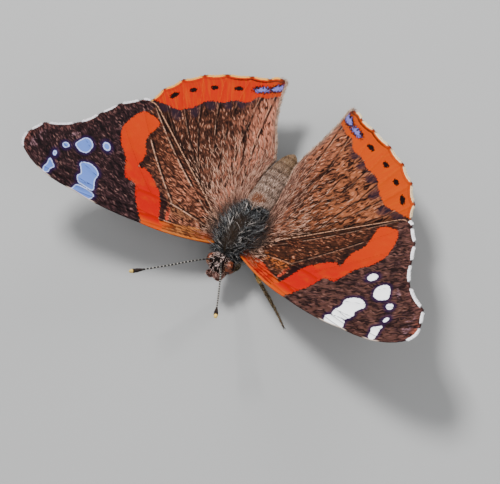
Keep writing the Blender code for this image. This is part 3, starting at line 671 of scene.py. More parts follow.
def hindwing_marks(flat, measures):
    """Each point's depth inside the hindwing's markings and distance to its lines, in millimetres,
    and the fringe's whiteness."""
    border = np.vstack([curve_through(BORDER_INNER, 5), BORDER_BEYOND])
    crease, _ = nearest(flat, curve_through(CREASE, 6))
    anal, _ = nearest(flat, edge_line(HINDWING.inner, 8))
    return {
        "band": depth_inside(flat, border),
        "dots": depth_in_spots(flat, BLACK_DOTS),
        "blotch": depth_in_spots(flat, DARK_BLOTCHES),
        "blue": depth_in_spots(flat, BLUE_PATCHES),
        "anal": anal,
        # Distance to the forewing's hind edge, along which the hindwing gets a painted shadow of the
        # forewing.
        "under": nearest(flat, edge_line(FOREWING.inner, 8))[0],
        "crease": crease,
        "vein": measures["vein"],
        "furrow": measures["furrow"],
        "rim": measures["rim"],
        "white": white_on_margin(HINDWING, measures["rim_share"]),
    }


def srgb(red, green, blue, share=REFLECTED):
    """A colour given as 0 to 255 on a screen, as the linear values that a shader takes: c / 12.92
    up to 0.04045 and ((c + 0.055) / 1.055)^2.4 above it. The lamps are strong, so most surfaces
    give back only a share of it, and light specks and white marks give back more."""
    screen = np.array([red, green, blue]) / 255
    linear = np.where(screen <= 0.04045, screen / 12.92, ((screen + 0.055) / 1.055) ** 2.4)
    return (*(linear * share).tolist(), 1.0)


class Value:
    """A number that changes over a surface. Arithmetic on it adds Math nodes to its finish."""

    def __init__(self, finish, socket):
        self.finish = finish
        self.socket = socket

    def joined(self, operation, first, second):
        """The outcome of this operation on two numbers, of which either may be a Value."""
        node = self.finish.node("ShaderNodeMath", {"operation": operation}, {0: first, 1: second})
        return Value(self.finish, node.outputs[0])

    def __add__(self, other):
        return self.joined("ADD", self, other)

    def __radd__(self, other):
        return self.joined("ADD", other, self)

    def __sub__(self, other):
        return self.joined("SUBTRACT", self, other)

    def __rsub__(self, other):
        return self.joined("SUBTRACT", other, self)

    def __mul__(self, other):
        return self.joined("MULTIPLY", self, other)

    def __rmul__(self, other):
        return self.joined("MULTIPLY", other, self)

    def __mod__(self, other):
        return self.joined("FLOORED_MODULO", self, other)

    def most(self, other):
        """The larger of the two numbers."""
        return self.joined("MAXIMUM", self, other)

    def size(self):
        """The number without its sign."""
        return self.joined("ABSOLUTE", self, 0.0)

    def between(self, low, high, start=0.0, end=1.0):
        """A smooth step from start, where the number is low, to end, where it is high."""
        node = self.finish.node(
            "ShaderNodeMapRange",
            {"interpolation_type": "SMOOTHSTEP"},
            {"Value": self, "From Min": low, "From Max": high, "To Min": start, "To Max": end},
        )
        return Value(self.finish, node.outputs[0])


class Finish:
    """A material being made: its nodes and the surface shader that they feed."""

    def __init__(self, name, constants):
        self.material = bpy.data.materials.new(name)
        self.material.use_nodes = True
        self.nodes = self.material.node_tree.nodes
        self.links = self.material.node_tree.links
        self.surface = self.nodes["Principled BSDF"]
        for socket, number in constants.items():
            self.surface.inputs[socket].default_value = number

    def node(self, kind, settings, inputs):
        """A node of this kind, with its settings made first and then its sockets set or linked."""
        made = self.nodes.new(kind)
        for name, setting in settings.items():
            setattr(made, name, setting)
        for socket, given in inputs.items():
            given = given.socket if isinstance(given, Value) else given
            if isinstance(given, bpy.types.NodeSocket):
                self.links.new(given, made.inputs[socket])
            else:
                made.inputs[socket].default_value = given
        return made

    def attribute(self, name):
        """The number of this name that the mesh holds for each of its points."""
        made = self.node("ShaderNodeAttribute", {"attribute_name": name}, {})
        return Value(self, made.outputs["Fac"])

    def laid(self, name):
        """The coordinates of a map that was made with the mesh."""
        return self.node("ShaderNodeUVMap", {"uv_map": name}, {}).outputs["UV"]

    def vector(self, operation, first, second):
        """A sum on coordinates: SCALE takes a number second, and the others take coordinates."""
        inputs = {0: first, "Scale" if operation == "SCALE" else 1: second}
        return self.node("ShaderNodeVectorMath", {"operation": operation}, inputs).outputs[0]

    def place(self):
        """The point of the surface in the insect's frame, in millimetres."""
        point = self.node("ShaderNodeTexCoord", {}, {}).outputs["Object"]
        return self.vector("SUBTRACT", self.vector("SCALE", point, 1 / MM), ORIGIN.tolist())

    def parts(self, vector):
        """The three numbers of these coordinates."""
        made = self.node("ShaderNodeSeparateXYZ", {}, {0: vector})
        return [Value(self, made.outputs[k]) for k in range(3)]

    def wobbled(self, vector, reach, cycles):
        """The same coordinates moved about by up to reach, with this many cycles a unit."""
        inputs = {"Vector": vector, "Scale": cycles, "Detail": 1.0}
        noise = self.node("ShaderNodeTexNoise", {}, inputs)
        centred = self.vector("SUBTRACT", noise.outputs["Color"], (0.5, 0.5, 0.5))
        return self.vector("ADD", vector, self.vector("SCALE", centred, reach * 2))

    def noise(self, vector, cycles, detail=2.0, distortion=0.0):
        """Noise from 0 to 1 with this many cycles a unit along each direction."""
        inputs = {
            "Vector": self.vector("MULTIPLY", vector, cycles),
            "Scale": 1.0,
            "Detail": detail,
            "Distortion": distortion,
        }
        return Value(self, self.node("ShaderNodeTexNoise", {}, inputs).outputs[0])

    def scales(self, vector, cells):
        """Cells with this many a unit along each direction: a random number for each, and the
        distance from its middle, in cells."""
        vector = self.vector("MULTIPLY", vector, cells)
        inputs = {"Vector": vector, "Scale": 1.0, "Randomness": 0.8}
        made = self.node("ShaderNodeTexVoronoi", {}, inputs)
        random = self.node("ShaderNodeSeparateColor", {}, {0: made.outputs["Color"]})
        return Value(self, random.outputs[0]), Value(self, made.outputs["Distance"])

    def mix(self, share, first, second):
        """A blend of two colours: the first where share is 0 and the second where it is 1."""
        made = self.node("ShaderNodeMix", {"data_type": "RGBA"}, {0: share, 6: first, 7: second})
        return made.outputs[2]

    def bump(self, height, strength, depth):
        """Relief this many millimetres deep for heights from 0 to 1."""
        inputs = {"Height": height, "Strength": strength, "Distance": depth * MM}
        made = self.node("ShaderNodeBump", {}, inputs)
        self.links.new(made.outputs[0], self.surface.inputs["Normal"])

    def colour(self, socket):
        """The material, finished with this colour."""
        self.links.new(socket, self.surface.inputs["Base Color"])
        return self.material


Grain = namedtuple("Grain", "fan dash within scale speck patchy")


def grain(finish):
    """What every wing surface shares: a fan of streaks from the root, short dashes of scales with
    the distance from the middle of each, single scales, specks that make edges ragged, and broad
    patches."""
    lie = finish.laid("Lie")
    fan = finish.noise(finish.laid("Fan"), (3.3, 0.24, 1.0), detail=5.0, distortion=0.4)
    dash, within = finish.scales(finish.wobbled(lie, 0.45, 0.9), (5.0, 1.35, 1.0))
    scale, _ = finish.scales(lie, (8.0, 4.0, 1.0))
    speck = finish.noise(lie, (4.5, 3.5, 1.0), detail=3.0)
    patchy = finish.noise(lie, (0.7, 0.45, 1.0), detail=2.0)
    return Grain(fan, dash, within, scale, speck, patchy)


def speckled(finish, made, dark, middle, light, lit):
    """A wing's ground: the middle colour on most dashes, the dark one in shaded dashes and between
    them, and the light one, as strongly as lit says, on the few that catch the light."""
    tone = made.fan * 0.55 + made.dash * 0.3 + made.scale * 0.15
    colour = finish.mix(tone.between(0.34, 0.56), srgb(*dark), srgb(*middle))
    colour = finish.mix(made.within.between(0.3, 0.58) * 0.78, colour, srgb(*dark))
    bright = (made.dash * 0.55 + made.fan * 0.45).between(0.56, 0.66)
    bright = bright * made.within.between(0.44, 0.2)
    return finish.mix(bright * lit, colour, srgb(*light, LIT))


def relief(finish, made):
    """The scales' own relief, highest in the middle of each dash."""
    finish.bump(0.6 * (1 - made.within) + 0.6 * made.fan + 0.3 * made.scale, 0.5, 0.05)


def forewing_upper():
    """Dark brown with tan veins and strokes, a red-orange band, and a purplish black apex with
    white marks and a chequered fringe."""
    finish = Finish("forewing_upper", {"Roughness": 0.75, "Specular IOR Level": 0.06})
    made = grain(finish)
    x, y, _ = finish.parts(finish.place())
    rim, vein, furrow, lead = (finish.attribute(name) for name in ("rim", "vein", "furrow", "lead"))
    left = x.between(-1.0, 1.0)
    ragged = (made.speck - 0.5) * 0.7
    band = finish.attribute("band")
    apex = (finish.attribute("apex") + ragged).between(-0.1, 0.15)
    near_root = x.size().between(15.0, 4.0)

    lit = 0.45 + 0.45 * near_root
    ground = speckled(finish, made, (27, 12, 8), (148, 82, 56), (226, 160, 124), lit)
    ground = finish.mix(left * made.patchy.between(0.35, 0.6, 0.05, 0.4), ground, srgb(50, 30, 18))
    rosy = x.size().between(18.0, 9.0) * (1 - left)
    rosy = rosy * made.fan.between(0.3, 0.55) * made.within.between(0.7, 0.2)
    ground = finish.mix(rosy * 0.8, ground, srgb(218, 136, 104))
    ground = finish.mix(band.between(-2.0, -0.2) * 0.45, ground, srgb(26, 13, 17))
    tint = (finish.attribute("tint") + ragged).between(-0.3, 0.7)
    tawny = finish.mix(left, srgb(126, 86, 50), srgb(212, 112, 48))
    ground = finish.mix(tint * made.within.between(0.65, 0.25) * 0.8, ground, tawny)
    # A painted shade line beside each vein, strong in patches.
    vein_shaded = furrow.between(0.22, 0.06) * made.patchy.between(0.34, 0.56, 0.25, 0.95)
    ground = finish.mix(vein_shaded, ground, srgb(16, 7, 6))
    # The veins' paler scales with a painted highlight along their ridges, stronger near the root and
    # weaker on the left wing.
    vein_tint_and_highlight = vein.between(0.13, 0.04) * made.speck.between(0.36, 0.5)
    vein_tint_and_highlight = vein_tint_and_highlight * made.patchy.between(0.38, 0.54) * (0.7 + 0.3 * near_root) * (1 - 0.6 * left)
    ground = finish.mix(vein_tint_and_highlight, ground, srgb(234, 180, 150))

    lit = made.patchy.between(0.35, 0.6) * 0.4
    dark = speckled(finish, made, (18, 9, 12), (82, 52, 54), (176, 132, 120), lit)
    dark = finish.mix(left * made.dash.between(0.3, 0.8, 0.05, 0.45), dark, srgb(126, 82, 68))
    pinkish = (rim + (made.speck - 0.5) * 3.0).between(1.4, 0.1) * made.within.between(0.6, 0.2)
    dark = finish.mix(pinkish * 0.55, dark, srgb(140, 86, 80))
    corner = x.size().between(31.0, 32.4) * (0.2 + 0.5 * left)
    dark = finish.mix(corner * made.dash.between(0.2, 0.6), dark, srgb(186, 92, 66))
    lilac = (finish.attribute("lilac") + ragged * 1.6).between(-0.2, 0.3)
    lilac = lilac * made.within.between(0.6, 0.3)
    dark = finish.mix(lilac * 0.65, dark, srgb(172, 128, 138))
    pale = finish.attribute("pale")
    dark = finish.mix((pale + ragged * 0.4).between(-0.6, -0.05) * 0.85, dark, srgb(40, 16, 64))
    ground = finish.mix(apex, ground, dark)

    streaks = made.fan * 0.6 + made.dash * 0.4
    bright = finish.mix(streaks.between(0.35, 0.6), srgb(176, 20, 6), srgb(222, 64, 22))
    dull = finish.mix(streaks.between(0.35, 0.6), srgb(96, 52, 28), srgb(192, 116, 62))
    costal = finish.mix(left, dull, bright)
    costal = finish.mix(x.size().between(7.6, 10.4), costal, srgb(222, 84, 6))
    # Painted shade lines 0.18 from the veins inside the costal streak.
    costal = finish.mix((vein - 0.18).size().between(0.1, 0.03) * 0.6, costal, srgb(60, 14, 8))
    costal = finish.mix(lead.between(0.35, 0.12) * 0.7, costal, srgb(226, 116, 30))
    streak = (finish.attribute("streak") + ragged * 0.8).between(-0.15, 0.1)
    ground = finish.mix(streak * (1 - apex), ground, costal)
    notch = (finish.attribute("notch") + ragged * 0.6).between(-0.08, 0.12)
    ground = finish.mix(notch * 0.85, ground, srgb(34, 12, 14))
    patch = (finish.attribute("patch") + ragged * 1.1).between(-0.03, 0.08)
    ground = finish.mix(patch * made.within.between(0.7, 0.3), ground, srgb(222, 78, 50))

    red = finish.mix(y.between(-2.5, 5.5), srgb(208, 17, 0), srgb(216, 58, 0))
    red = finish.mix(made.patchy.between(0.45, 0.7) * 0.5, red, srgb(218, 70, 2))
    red = finish.mix(lead.between(1.3, 0.3) * 0.85, red, srgb(224, 88, 4))
    red = finish.mix(vein.between(0.08, 0.02) * 0.45, red, srgb(140, 16, 2))
    ground = finish.mix((band + ragged * 1.2).between(-0.06, 0.06), ground, red)

    # On the right wing (X below 0) the white marks are a dimmer, bluish white: painted sky reflection
    # and shade. On the left wing they are full white.
    white = finish.mix(left, srgb(104, 138, 222, 0.62), srgb(255, 255, 255, 0.98))
    outlined = (pale - 0.08).size().between(0.12, 0.02)
    white = finish.mix(outlined * 0.4, white, srgb(240, 244, 255, 0.9))
    white = finish.mix(vein.between(0.08, 0.02) * 0.8, white, srgb(40, 32, 74))
    ground = finish.mix((pale + ragged * 0.45).between(-0.04, 0.04) * apex, ground, white)
    pale_edge = lead.between(0.16, 0.05) * (pale + 1.0).between(0.0, 0.7)
    ground = finish.mix(pale_edge * apex * 0.8, ground, srgb(255, 226, 204, LIT))
    hind = finish.attribute("hind")
    ground = finish.mix(hind.between(0.75, 0.35) * (1 - apex) * 0.75, ground, srgb(24, 12, 9))
    # A painted highlight: a thin, broken pale line along the forewing's hind edge.
    hind_edge_highlight = (hind - 0.12).size().between(0.13, 0.04) * made.speck.between(0.38, 0.52)
    ground = finish.mix(hind_edge_highlight * 0.85, ground, srgb(222, 164, 130))
    edge = (rim + ragged * 0.3 + 0.1 * (1 - left)).between(0.24, 0.12)
    hollow = finish.attribute("white").between(0.1, 0.35)
    tip = finish.mix(hollow, srgb(58, 30, 32), srgb(255, 252, 255, 0.98))
    ground = finish.mix(edge, ground, tip)
    relief(finish, made)
    return finish.colour(ground)


def hindwing_upper():
    """Brown with pinkish strokes, paler towards the body, and an orange border with black dots, a
    blue patch at the body end and a pale fringe."""
    finish = Finish("hindwing_upper", {"Roughness": 0.75, "Specular IOR Level": 0.06})
    made = grain(finish)
    rim, vein, furrow = (finish.attribute(name) for name in ("rim", "vein", "furrow"))
    x, y, _ = finish.parts(finish.place())
    left = x.between(-1.0, 1.0)
    ragged = (made.speck - 0.5) * 0.7
    band = finish.attribute("band")
    inward = x.size().between(11.0, 3.0)

    ground = speckled(finish, made, (28, 13, 9), (146, 84, 60), (238, 180, 150), 0.5 + 0.5 * inward)
    streaks = made.fan * 0.6 + made.dash * 0.4
    pale = inward * (1 - 0.6 * left) * streaks.between(0.32, 0.64, 0.05, 0.85)
    ground = finish.mix(pale, ground, srgb(230, 144, 114, 0.62))
    ground = finish.mix((1 - inward) * (1 - left) * 0.25, ground, srgb(44, 24, 20))
    warm = left * (1 - 0.4 * inward) * streaks.between(0.34, 0.66, 0.0, 0.6)
    ground = finish.mix(warm, ground, srgb(206, 120, 76))
    # A painted shade line beside each vein, strong in patches.
    vein_shaded = furrow.between(0.22, 0.06) * made.patchy.between(0.34, 0.58, 0.2, 0.9)
    ground = finish.mix(vein_shaded, ground, srgb(22, 10, 8))
    # The veins' paler scales with a painted highlight along their ridges, stronger towards the body.
    vein_tint_and_highlight = vein.between(0.12, 0.03) * made.speck.between(0.4, 0.54)
    vein_tint_and_highlight = vein_tint_and_highlight * made.patchy.between(0.42, 0.56) * (0.25 + 0.5 * inward)
    ground = finish.mix(vein_tint_and_highlight, ground, srgb(236, 182, 152))
    # Painted shade in the hindwing's crease, fading out towards its outer end.
    crease = finish.attribute("crease").between(0.4, 0.12) * y.between(17.0, 12.0)
    ground = finish.mix(crease * 0.75, ground, srgb(28, 14, 11))
    # A painted shadow of the forewing on the hindwing, darkest next to the forewing's hind edge.
    under = finish.attribute("under").between(1.0, 0.1)
    ground = finish.mix(under * 0.75, ground, srgb(24, 12, 9))
    anal = (finish.attribute("anal") + ragged).between(0.9, 0.2) * y.between(6.0, 10.0)
    ground = finish.mix(anal * 0.35, ground, srgb(204, 150, 128))
    near_band = band.between(-0.7, -0.1) * made.patchy.between(0.48, 0.56) * 0.7
    blotch = (finish.attribute("blotch") + ragged).between(-0.2, 0.2)
    ground = finish.mix(blotch.most(near_band) * 0.8, ground, srgb(46, 30, 44))

    orange = finish.mix(left, srgb(212, 38, 0), srgb(220, 76, 0))
    orange = finish.mix(made.fan.between(0.4, 0.7) * 0.5, orange, srgb(224, 92, 4))
    orange = finish.mix(vein.between(0.08, 0.02) * 0.2, orange, srgb(240, 140, 40))
    at_vein_end = finish.attribute("white").between(0.2, 0.02) * rim.between(0.6, 0.2)
    orange = finish.mix(at_vein_end * 0.7, orange, srgb(120, 24, 8))
    toward_body = x.size().between(15.0, 11.0)
    line = (rim - 0.48 + ragged * 0.25).size().between(0.13, 0.05)
    orange = finish.mix(line * (0.2 + 0.7 * toward_body), orange, srgb(50, 10, 10))
    dots = (finish.attribute("dots") + ragged * 0.9).between(-0.03, 0.06)
    orange = finish.mix(dots, orange, srgb(20, 5, 7))
    faded = x.size().between(8.4, 5.6)
    orange = finish.mix(faded * 0.4, orange, srgb(150, 86, 44))
    ground = finish.mix((band + ragged * 1.2).between(-0.06, 0.06), ground, orange)
    blue = finish.attribute("blue") + ragged * 1.8
    ground = finish.mix(blue.between(-0.34, -0.14), ground, srgb(22, 8, 20))
    ground = finish.mix((blue + made.dash * 0.2).between(0.04, 0.2), ground, srgb(140, 132, 212))
    corner = x.size().between(6.6, 5.4) * rim.between(1.0, 0.6)
    ground = finish.mix(corner * 0.85, ground, srgb(38, 22, 26))
    edge = (rim + ragged * 0.2).between(0.24, 0.12)
    pale_tip = finish.mix(left, srgb(250, 176, 72, LIT), srgb(255, 226, 176, LIT))
    hollow = finish.attribute("white").between(0.02, 0.25)
    tip = finish.mix(hollow, srgb(150, 50, 14), pale_tip)
    ground = finish.mix(edge, ground, tip)
    relief(finish, made)
    return finish.colour(ground)


def forewing_under():
    """The upper side's marks, paler: a rose band, white spots, blue flecks and a mottled apex."""
    finish = Finish("forewing_under", {"Roughness": 0.75, "Specular IOR Level": 0.15})
    made = grain(finish)
    rim, vein = finish.attribute("rim"), finish.attribute("vein")
    ragged = (made.speck - 0.5) * 0.6
    marble = finish.noise(finish.place(), (0.55, 0.8, 0.5), detail=5.0, distortion=1.2)
    ground = speckled(finish, made, (34, 22, 20), (76, 54, 46), (132, 104, 88), 0.6)
    apex = finish.attribute("apex")
    mottled = finish.mix(marble.between(0.42, 0.6), srgb(70, 56, 46), srgb(158, 138, 116))
    ground = finish.mix(apex.between(3.5, 6.5), ground, mottled)
    blue = marble.between(0.56, 0.62) * finish.attribute("lead").between(3.4, 1.5)
    ground = finish.mix(blue * apex.between(-2.0, 0.0), ground, srgb(96, 118, 168))
    rose = finish.mix(made.fan, srgb(206, 56, 36), srgb(236, 108, 70))
    ground = finish.mix((finish.attribute("band") + ragged).between(-0.1, 0.1), ground, rose)
    streak = (finish.attribute("streak") + ragged).between(-0.2, 0.1)
    ground = finish.mix(streak * 0.6, ground, rose)
    pale = finish.attribute("pale") + ragged * 0.6
    ground = finish.mix(pale.between(-0.1, 0.08), ground, srgb(232, 230, 224))
    ground = finish.mix(vein.between(0.14, 0.05) * 0.5, ground, srgb(150, 122, 96))
    hollow = finish.attribute("white").between(0.3, 0.7)
    tip = finish.mix(hollow, srgb(60, 44, 40), srgb(228, 224, 216))
    ground = finish.mix(rim.between(0.3, 0.15), ground, tip)
    relief(finish, made)
    return finish.colour(ground)


def hindwing_under():
    """Marbled brown, grey and black like bark, with faint eyespots along the border."""
    finish = Finish("hindwing_under", {"Roughness": 0.8, "Specular IOR Level": 0.15})
    made = grain(finish)
    place = finish.place()
    rim, vein = finish.attribute("rim"), finish.attribute("vein")
    marble = finish.noise(place, (0.32, 0.42, 0.3), detail=6.0, distortion=2.2)
    veiny = finish.noise(place, (0.8, 0.9, 0.8), detail=5.0, distortion=3.0)
    ground = finish.mix(marble.between(0.38, 0.6), srgb(50, 38, 32), srgb(122, 98, 78))
    ground = finish.mix(veiny.between(0.55, 0.62), ground, srgb(176, 158, 134))
    ground = finish.mix(veiny.between(0.44, 0.38), ground, srgb(28, 22, 22))
    ground = finish.mix(made.within.between(0.3, 0.6, 0.0, 0.4), ground, srgb(40, 30, 26))
    spots = finish.attribute("dots") * 0.45
    ground = finish.mix(spots.between(-0.42, -0.2) * 0.7, ground, srgb(142, 116, 84))
    ground = finish.mix(spots.between(-0.14, -0.02) * 0.8, ground, srgb(38, 44, 60))
    ground = finish.mix(vein.between(0.14, 0.05) * 0.4, ground, srgb(150, 128, 100))
    hollow = finish.attribute("white").between(0.3, 0.7)
    tip = finish.mix(hollow, srgb(70, 54, 44), srgb(206, 194, 174))
    ground = finish.mix((rim + made.speck * 0.2).between(0.4, 0.2), ground, tip)
    relief(finish, made)
    return finish.colour(ground)


def hair_finish(name, dark, light, tints=()):
    """Hairs from dark to light by their own shade, paler at the tip, then tinted by each value
    named in tints towards its colour."""
    finish = Finish(name, {"Roughness": 0.75, "Specular IOR Level": 0.09})
    shade = finish.attribute("shade") * (0.75 + 0.35 * finish.attribute("tip"))
    colour = finish.mix(shade.between(0.0, 1.0), srgb(*dark), srgb(*light, LIT))
    for title, tint in tints:
        colour = finish.mix(finish.attribute(title), colour, srgb(*tint))
    return finish.colour(colour)


def fringe_finish(name, dark, right, left):
    """Fringe scales, dark at the vein ends and pale between them, the pale colour set by side."""
    finish = Finish(name, {"Roughness": 0.8, "Specular IOR Level": 0.15})
    white = finish.attribute("white") + (finish.attribute("shade") - 0.5) * 0.12
    x, _, _ = finish.parts(finish.place())
    pale = finish.mix(x.between(-1.0, 1.0), srgb(*right), srgb(*left))
    return finish.colour(finish.mix(white.between(0.1, 0.3), srgb(*dark), pale))


def wing_pieces():
    """The four wings, each a closed shell: the upper grid, and a lower one that shares its rim.
    Each has one finish above and one below. Gives each kind's upper grid, plan and measures."""
    kinds = (
        ("forewing", FOREWING, forewing_marks, (forewing_upper(), forewing_under())),
        ("hindwing", HINDWING, hindwing_marks, (hindwing_upper(), hindwing_under())),
    )
    made = {}
    for kind, wing, marks, finishes in kinds:
        upper, lower, flat, measures, maps = wing_shape(wing)
        rows, columns = upper.shape[:2]
        numbers = np.arange(rows * columns).reshape(rows, columns)
        inner = numbers[1:-1, 1:-1].ravel()
        below = numbers.copy()
        below[1:-1, 1:-1] = rows * columns + np.arange(len(inner)).reshape(rows - 2, -1)
        top = grid_faces(rows, columns)
        bottom = below.ravel()[top][:, ::-1]
        points = np.vstack([upper.reshape(-1, 3), lower.reshape(-1, 3)[inner]])
        values = {
            title: np.concatenate([depths, depths[inner]])
            for title, depths in marks(flat, measures).items()
        }
        maps = {
            title: np.vstack([pairs.reshape(-1, 2), pairs.reshape(-1, 2)[inner]])
            for title, pairs in maps.items()
        }
        pair(
            kind + "_{}_scales", points, [np.vstack([top, bottom])], finishes, "wing_scales",
            kind + "_{}", values=values, maps=maps,
            finish_of=np.repeat([0, 1], [len(top), len(bottom)]),
        )
        made[kind] = (upper, flat, measures)
    return made


def wing_hairs(wings):
    """Fine hairs lying outwards over each wing's root and over much of the hindwing, longer and
    curled next to the thorax. Their start and end are the direction of v, leant along u and lifted
    along the normal by random shares."""
    finish = hair_finish(
        "wing_hair", (36, 18, 12), (240, 186, 158),
        [("rosy", (200, 138, 120)), ("tawny", (190, 80, 34)), ("grey", (64, 60, 58))],
    )
    for kind, count, reach in (("forewing", 700, 6.5), ("hindwing", 3000, 17.0)):
        upper, flat, measures = wings[kind]
        rows, columns = upper.shape[:2]
        x, y = flat[:, 0], flat[:, 1]
        if kind == "forewing":
            density = smooth(reach, 3.0, x) ** 2 * smooth(0.2, 0.8, measures["lead"])
        else:
            from_root = np.hypot(x, y - 1)
            density = smooth(reach, 4.0, from_root) ** 1.3 * smooth(0.3, 1.0, measures["rim"])
            density = density * (1 + 2.0 * smooth(4.5, 2.5, x))
        density = density.reshape(rows, columns) + 1e-9
        for side, sign in SIDES.items():
            rng = np.random.default_rng([11, 8, int(sign > 0)])
            i, j = scatter(upper, density, count, rng)
            root, down, right, normal = surface_frame(upper, i, j)
            normal = normal * np.sign(normal[:, 2:])
            near = np.hypot(root[:, 0], root[:, 1] - 0.5)
            close = smooth(5.5, 2.5, near)[:, None]
            lean = rng.normal(0.0, 0.18, (count, 1)) + close * rng.normal(0.0, 0.5, (count, 1))
            lift = rng.uniform(0.05, 0.2, (count, 1)) + close * rng.uniform(0.1, 0.7, (count, 1))
            start = unit(right + down * lean + normal * lift)
            curl = rng.normal(0.0, 0.3, (count, 1)) + close * rng.normal(0.0, 0.9, (count, 1))
            end = unit(right + down * (lean + curl) + normal * (close * 0.2 - 0.05))
            length = rng.uniform(0.45, 1.15, count) * (1 + 0.7 * close[:, 0])
            bright = rng.random(count) < (0.42 if kind == "hindwing" and sign < 0 else 0.25)
            width = either(bright, (0.035, 0.06), (0.02, 0.045), rng)
            shade = either(bright, (0.55, 1.0), (0.0, 0.25), rng)
            rosy = np.zeros(count)
            if kind == "hindwing":
                rosy = 0.55 * smooth(7.0, 4.0, root[:, 0]) * rng.random(count)
            tawny = np.zeros(count)
            if kind == "forewing":
                tawny = 0.8 * smooth(-2.0, -3.0, root[:, 1] + 0.2 * (root[:, 0] - 3.0))
            grey = 0.85 * smooth(4.9, 3.0, near) * (rng.random(count) < 0.85)
            hair = hairs(root, start, end, length, width, spot(i / rows, j / columns))
            values = {"shade": shade, "rosy": rosy, "tawny": tawny, "grey": grey}
            coat(f"{kind}_{side}_hair", sign, hair, values, finish, "wing_scales")


def anal_fringes(wings):
    """Pale hairs standing out along the hindwings' edge beside the abdomen: they root on the last
    three rows of the wing's grid and lean outwards, along v, and over its edge, along u."""
    finish = hair_finish("anal_hair", (96, 60, 46), (244, 206, 180))
    upper, _, _ = wings["hindwing"]
    rows, columns = upper.shape[:2]
    count = 1100
    for side, sign in SIDES.items():
        rng = np.random.default_rng([29, int(sign > 0)])
        i = np.full(count, rows - 1.0) - rng.uniform(0.0, 3.0, count)
        j = (0.3 + 0.69 * rng.random(count)) * (columns - 2)
        root, down, right, normal = surface_frame(upper, i, j)
        normal = normal * np.sign(normal[:, 2:])
        start = unit(right * 0.7 + down * rng.uniform(0.2, 0.9, (count, 1)) + normal * 0.15)
        over = down * rng.uniform(-0.1, 0.7, (count, 1))
        end = unit(right * 0.9 + over + rng.normal(0, 0.2, (count, 3)))
        length = rng.uniform(0.35, 0.8, count)
        width = rng.uniform(0.02, 0.04, count)
        place = spot(j / columns, rng.random(count) * 0.2)
        values = {"shade": rng.random(count) ** 0.8}
        hair = hairs(root, start, end, length, width, place)
        coat(f"hindwing_{side}_anal_fringe", sign, hair, values, finish, "wing_scales")


WINGS_MIDDLE = (15.0, 4.0)  # inside both wings' outer margins, seen from above


def fringes():
    """Rows of narrow scales standing out from each wing's outer margin: square to it in the wing's
    own slope, turned a little by chance, and longer in the white hollows."""
    fore = fringe_finish(
        "forewing_fringe", (62, 34, 34), (250, 244, 248, 0.85), (255, 253, 255, 0.95)
    )
    hind = fringe_finish(
        "hindwing_fringe", (132, 54, 22), (252, 190, 96, LIT), (255, 232, 190, LIT)
    )
    count = 1300
    for kind, wing, finish, more in (
        ("forewing", FOREWING, fore, 0.25),
        ("hindwing", HINDWING, hind, 0.17),
    ):
        line = edge_line(wing.outer)
        for side, sign in SIDES.items():
            rng = np.random.default_rng([23, 8, int(sign > 0)])
            share = np.sort(rng.random(count)) * 0.995 + 0.0025
            at = along_line(line, share)
            heading = unit(along_line(line, share + 0.002) - along_line(line, share - 0.002))
            out = np.stack([heading[:, 1], -heading[:, 0]], axis=1)
            out = out * np.sign((out * (at - WINGS_MIDDLE)).sum(axis=1, keepdims=True))
            white = white_on_margin(wing, share)
            inside = at - out * rng.uniform(0.02, 0.12, (count, 1))
            height = wing_height(wing, inside) + rng.uniform(-0.03, 0.05, count)
            root = np.concatenate([inside, height[:, None]], axis=1)
            slope = np.array([wing.rise, wing.pitch])
            turn = out + heading * rng.normal(0.0, 0.16, (count, 1))
            start = unit(np.concatenate([turn, (turn @ slope)[:, None]], axis=1))
            end = unit(start + rng.normal(0.0, 0.08, (count, 3)))
            length = rng.uniform(0.85, 1.15, count) * (0.08 + more * smooth(0.0, 0.4, white))
            width = rng.uniform(0.025, 0.045, count)
            place = spot(share, rng.random(count) * 0.2)
            values = {"white": white, "shade": rng.random(count)}
            hair = hairs(root, start, end, length, width, place)
            coat(f"{kind}_{side}_fringe", sign, hair, values, finish, "wing_scales")


THORAX_HALF_WIDTH = 2.1
# The body's three masses along Y, head, thorax and abdomen: middle, reach to the front and to the
# back, half width, half height, and the power p that rounds it
MASSES = (
    (-5.2, 1.25, 1.3, 1.4, 1.3, 2.0),
    (-0.4, 4.1, 4.1, THORAX_HALF_WIDTH, 1.98, 2.2),
    (7.4, 5.3, 6.25, 1.95, 1.8, 2.0),
)
FACE_Y = -6.44
TAIL_Y = 13.63
BODY_ROWS = 330
BODY_COLUMNS = 97
SEGMENT_START = 3.4
SEGMENT_LENGTH = 1.28
HAIR_ROW = 0.43  # between the darker rows of hair on the abdomen
TUFT_MIDDLE = (0.0, 4.7, 1.4)
TUFT_HALF = (1.2, 0.9, 1.2)
EYE_MIDDLE = (1.45, -5.25, 0.12)
EYE_HALF = (0.76, 0.93, 1.0)


def body_section(y):
    """Half width, half height and middle height of the body at each Y. A mass is half
    (1 - |t|^p)^(1/p) at share t of its reach, and the three are joined by (sum of sixth
    powers)^(1/6). Each ring of the abdomen has a groove where it starts and widens after it."""
    width, height = np.zeros(len(y)), np.zeros(len(y))
    for middle, front, back, half_width, half_height, power in MASSES:
        share = np.clip(np.abs(y - middle) / np.where(y < middle, front, back), 0.0, 1.0)
        swell = (1 - share**power) ** (1 / power)
        width = width + (half_width * swell) ** 6
        height = height + (half_height * swell) ** 6
    width, height = width ** (1 / 6), height ** (1 / 6)
    segment = ((y - SEGMENT_START) / SEGMENT_LENGTH) % 1.0
    groove = 0.05 * np.exp(-((segment / 0.12) ** 2))
    ringed = smooth(3.6, 5.0, y) * (0.035 * (segment - 0.5) - groove)
    droop = np.interp(y, [-6.5, -5.0, -3.5, 3.0, 13.7], [0.05, 0.05, 0.0, -0.12, -0.83])
    return width * (1 + ringed), height * (1 + ringed), droop


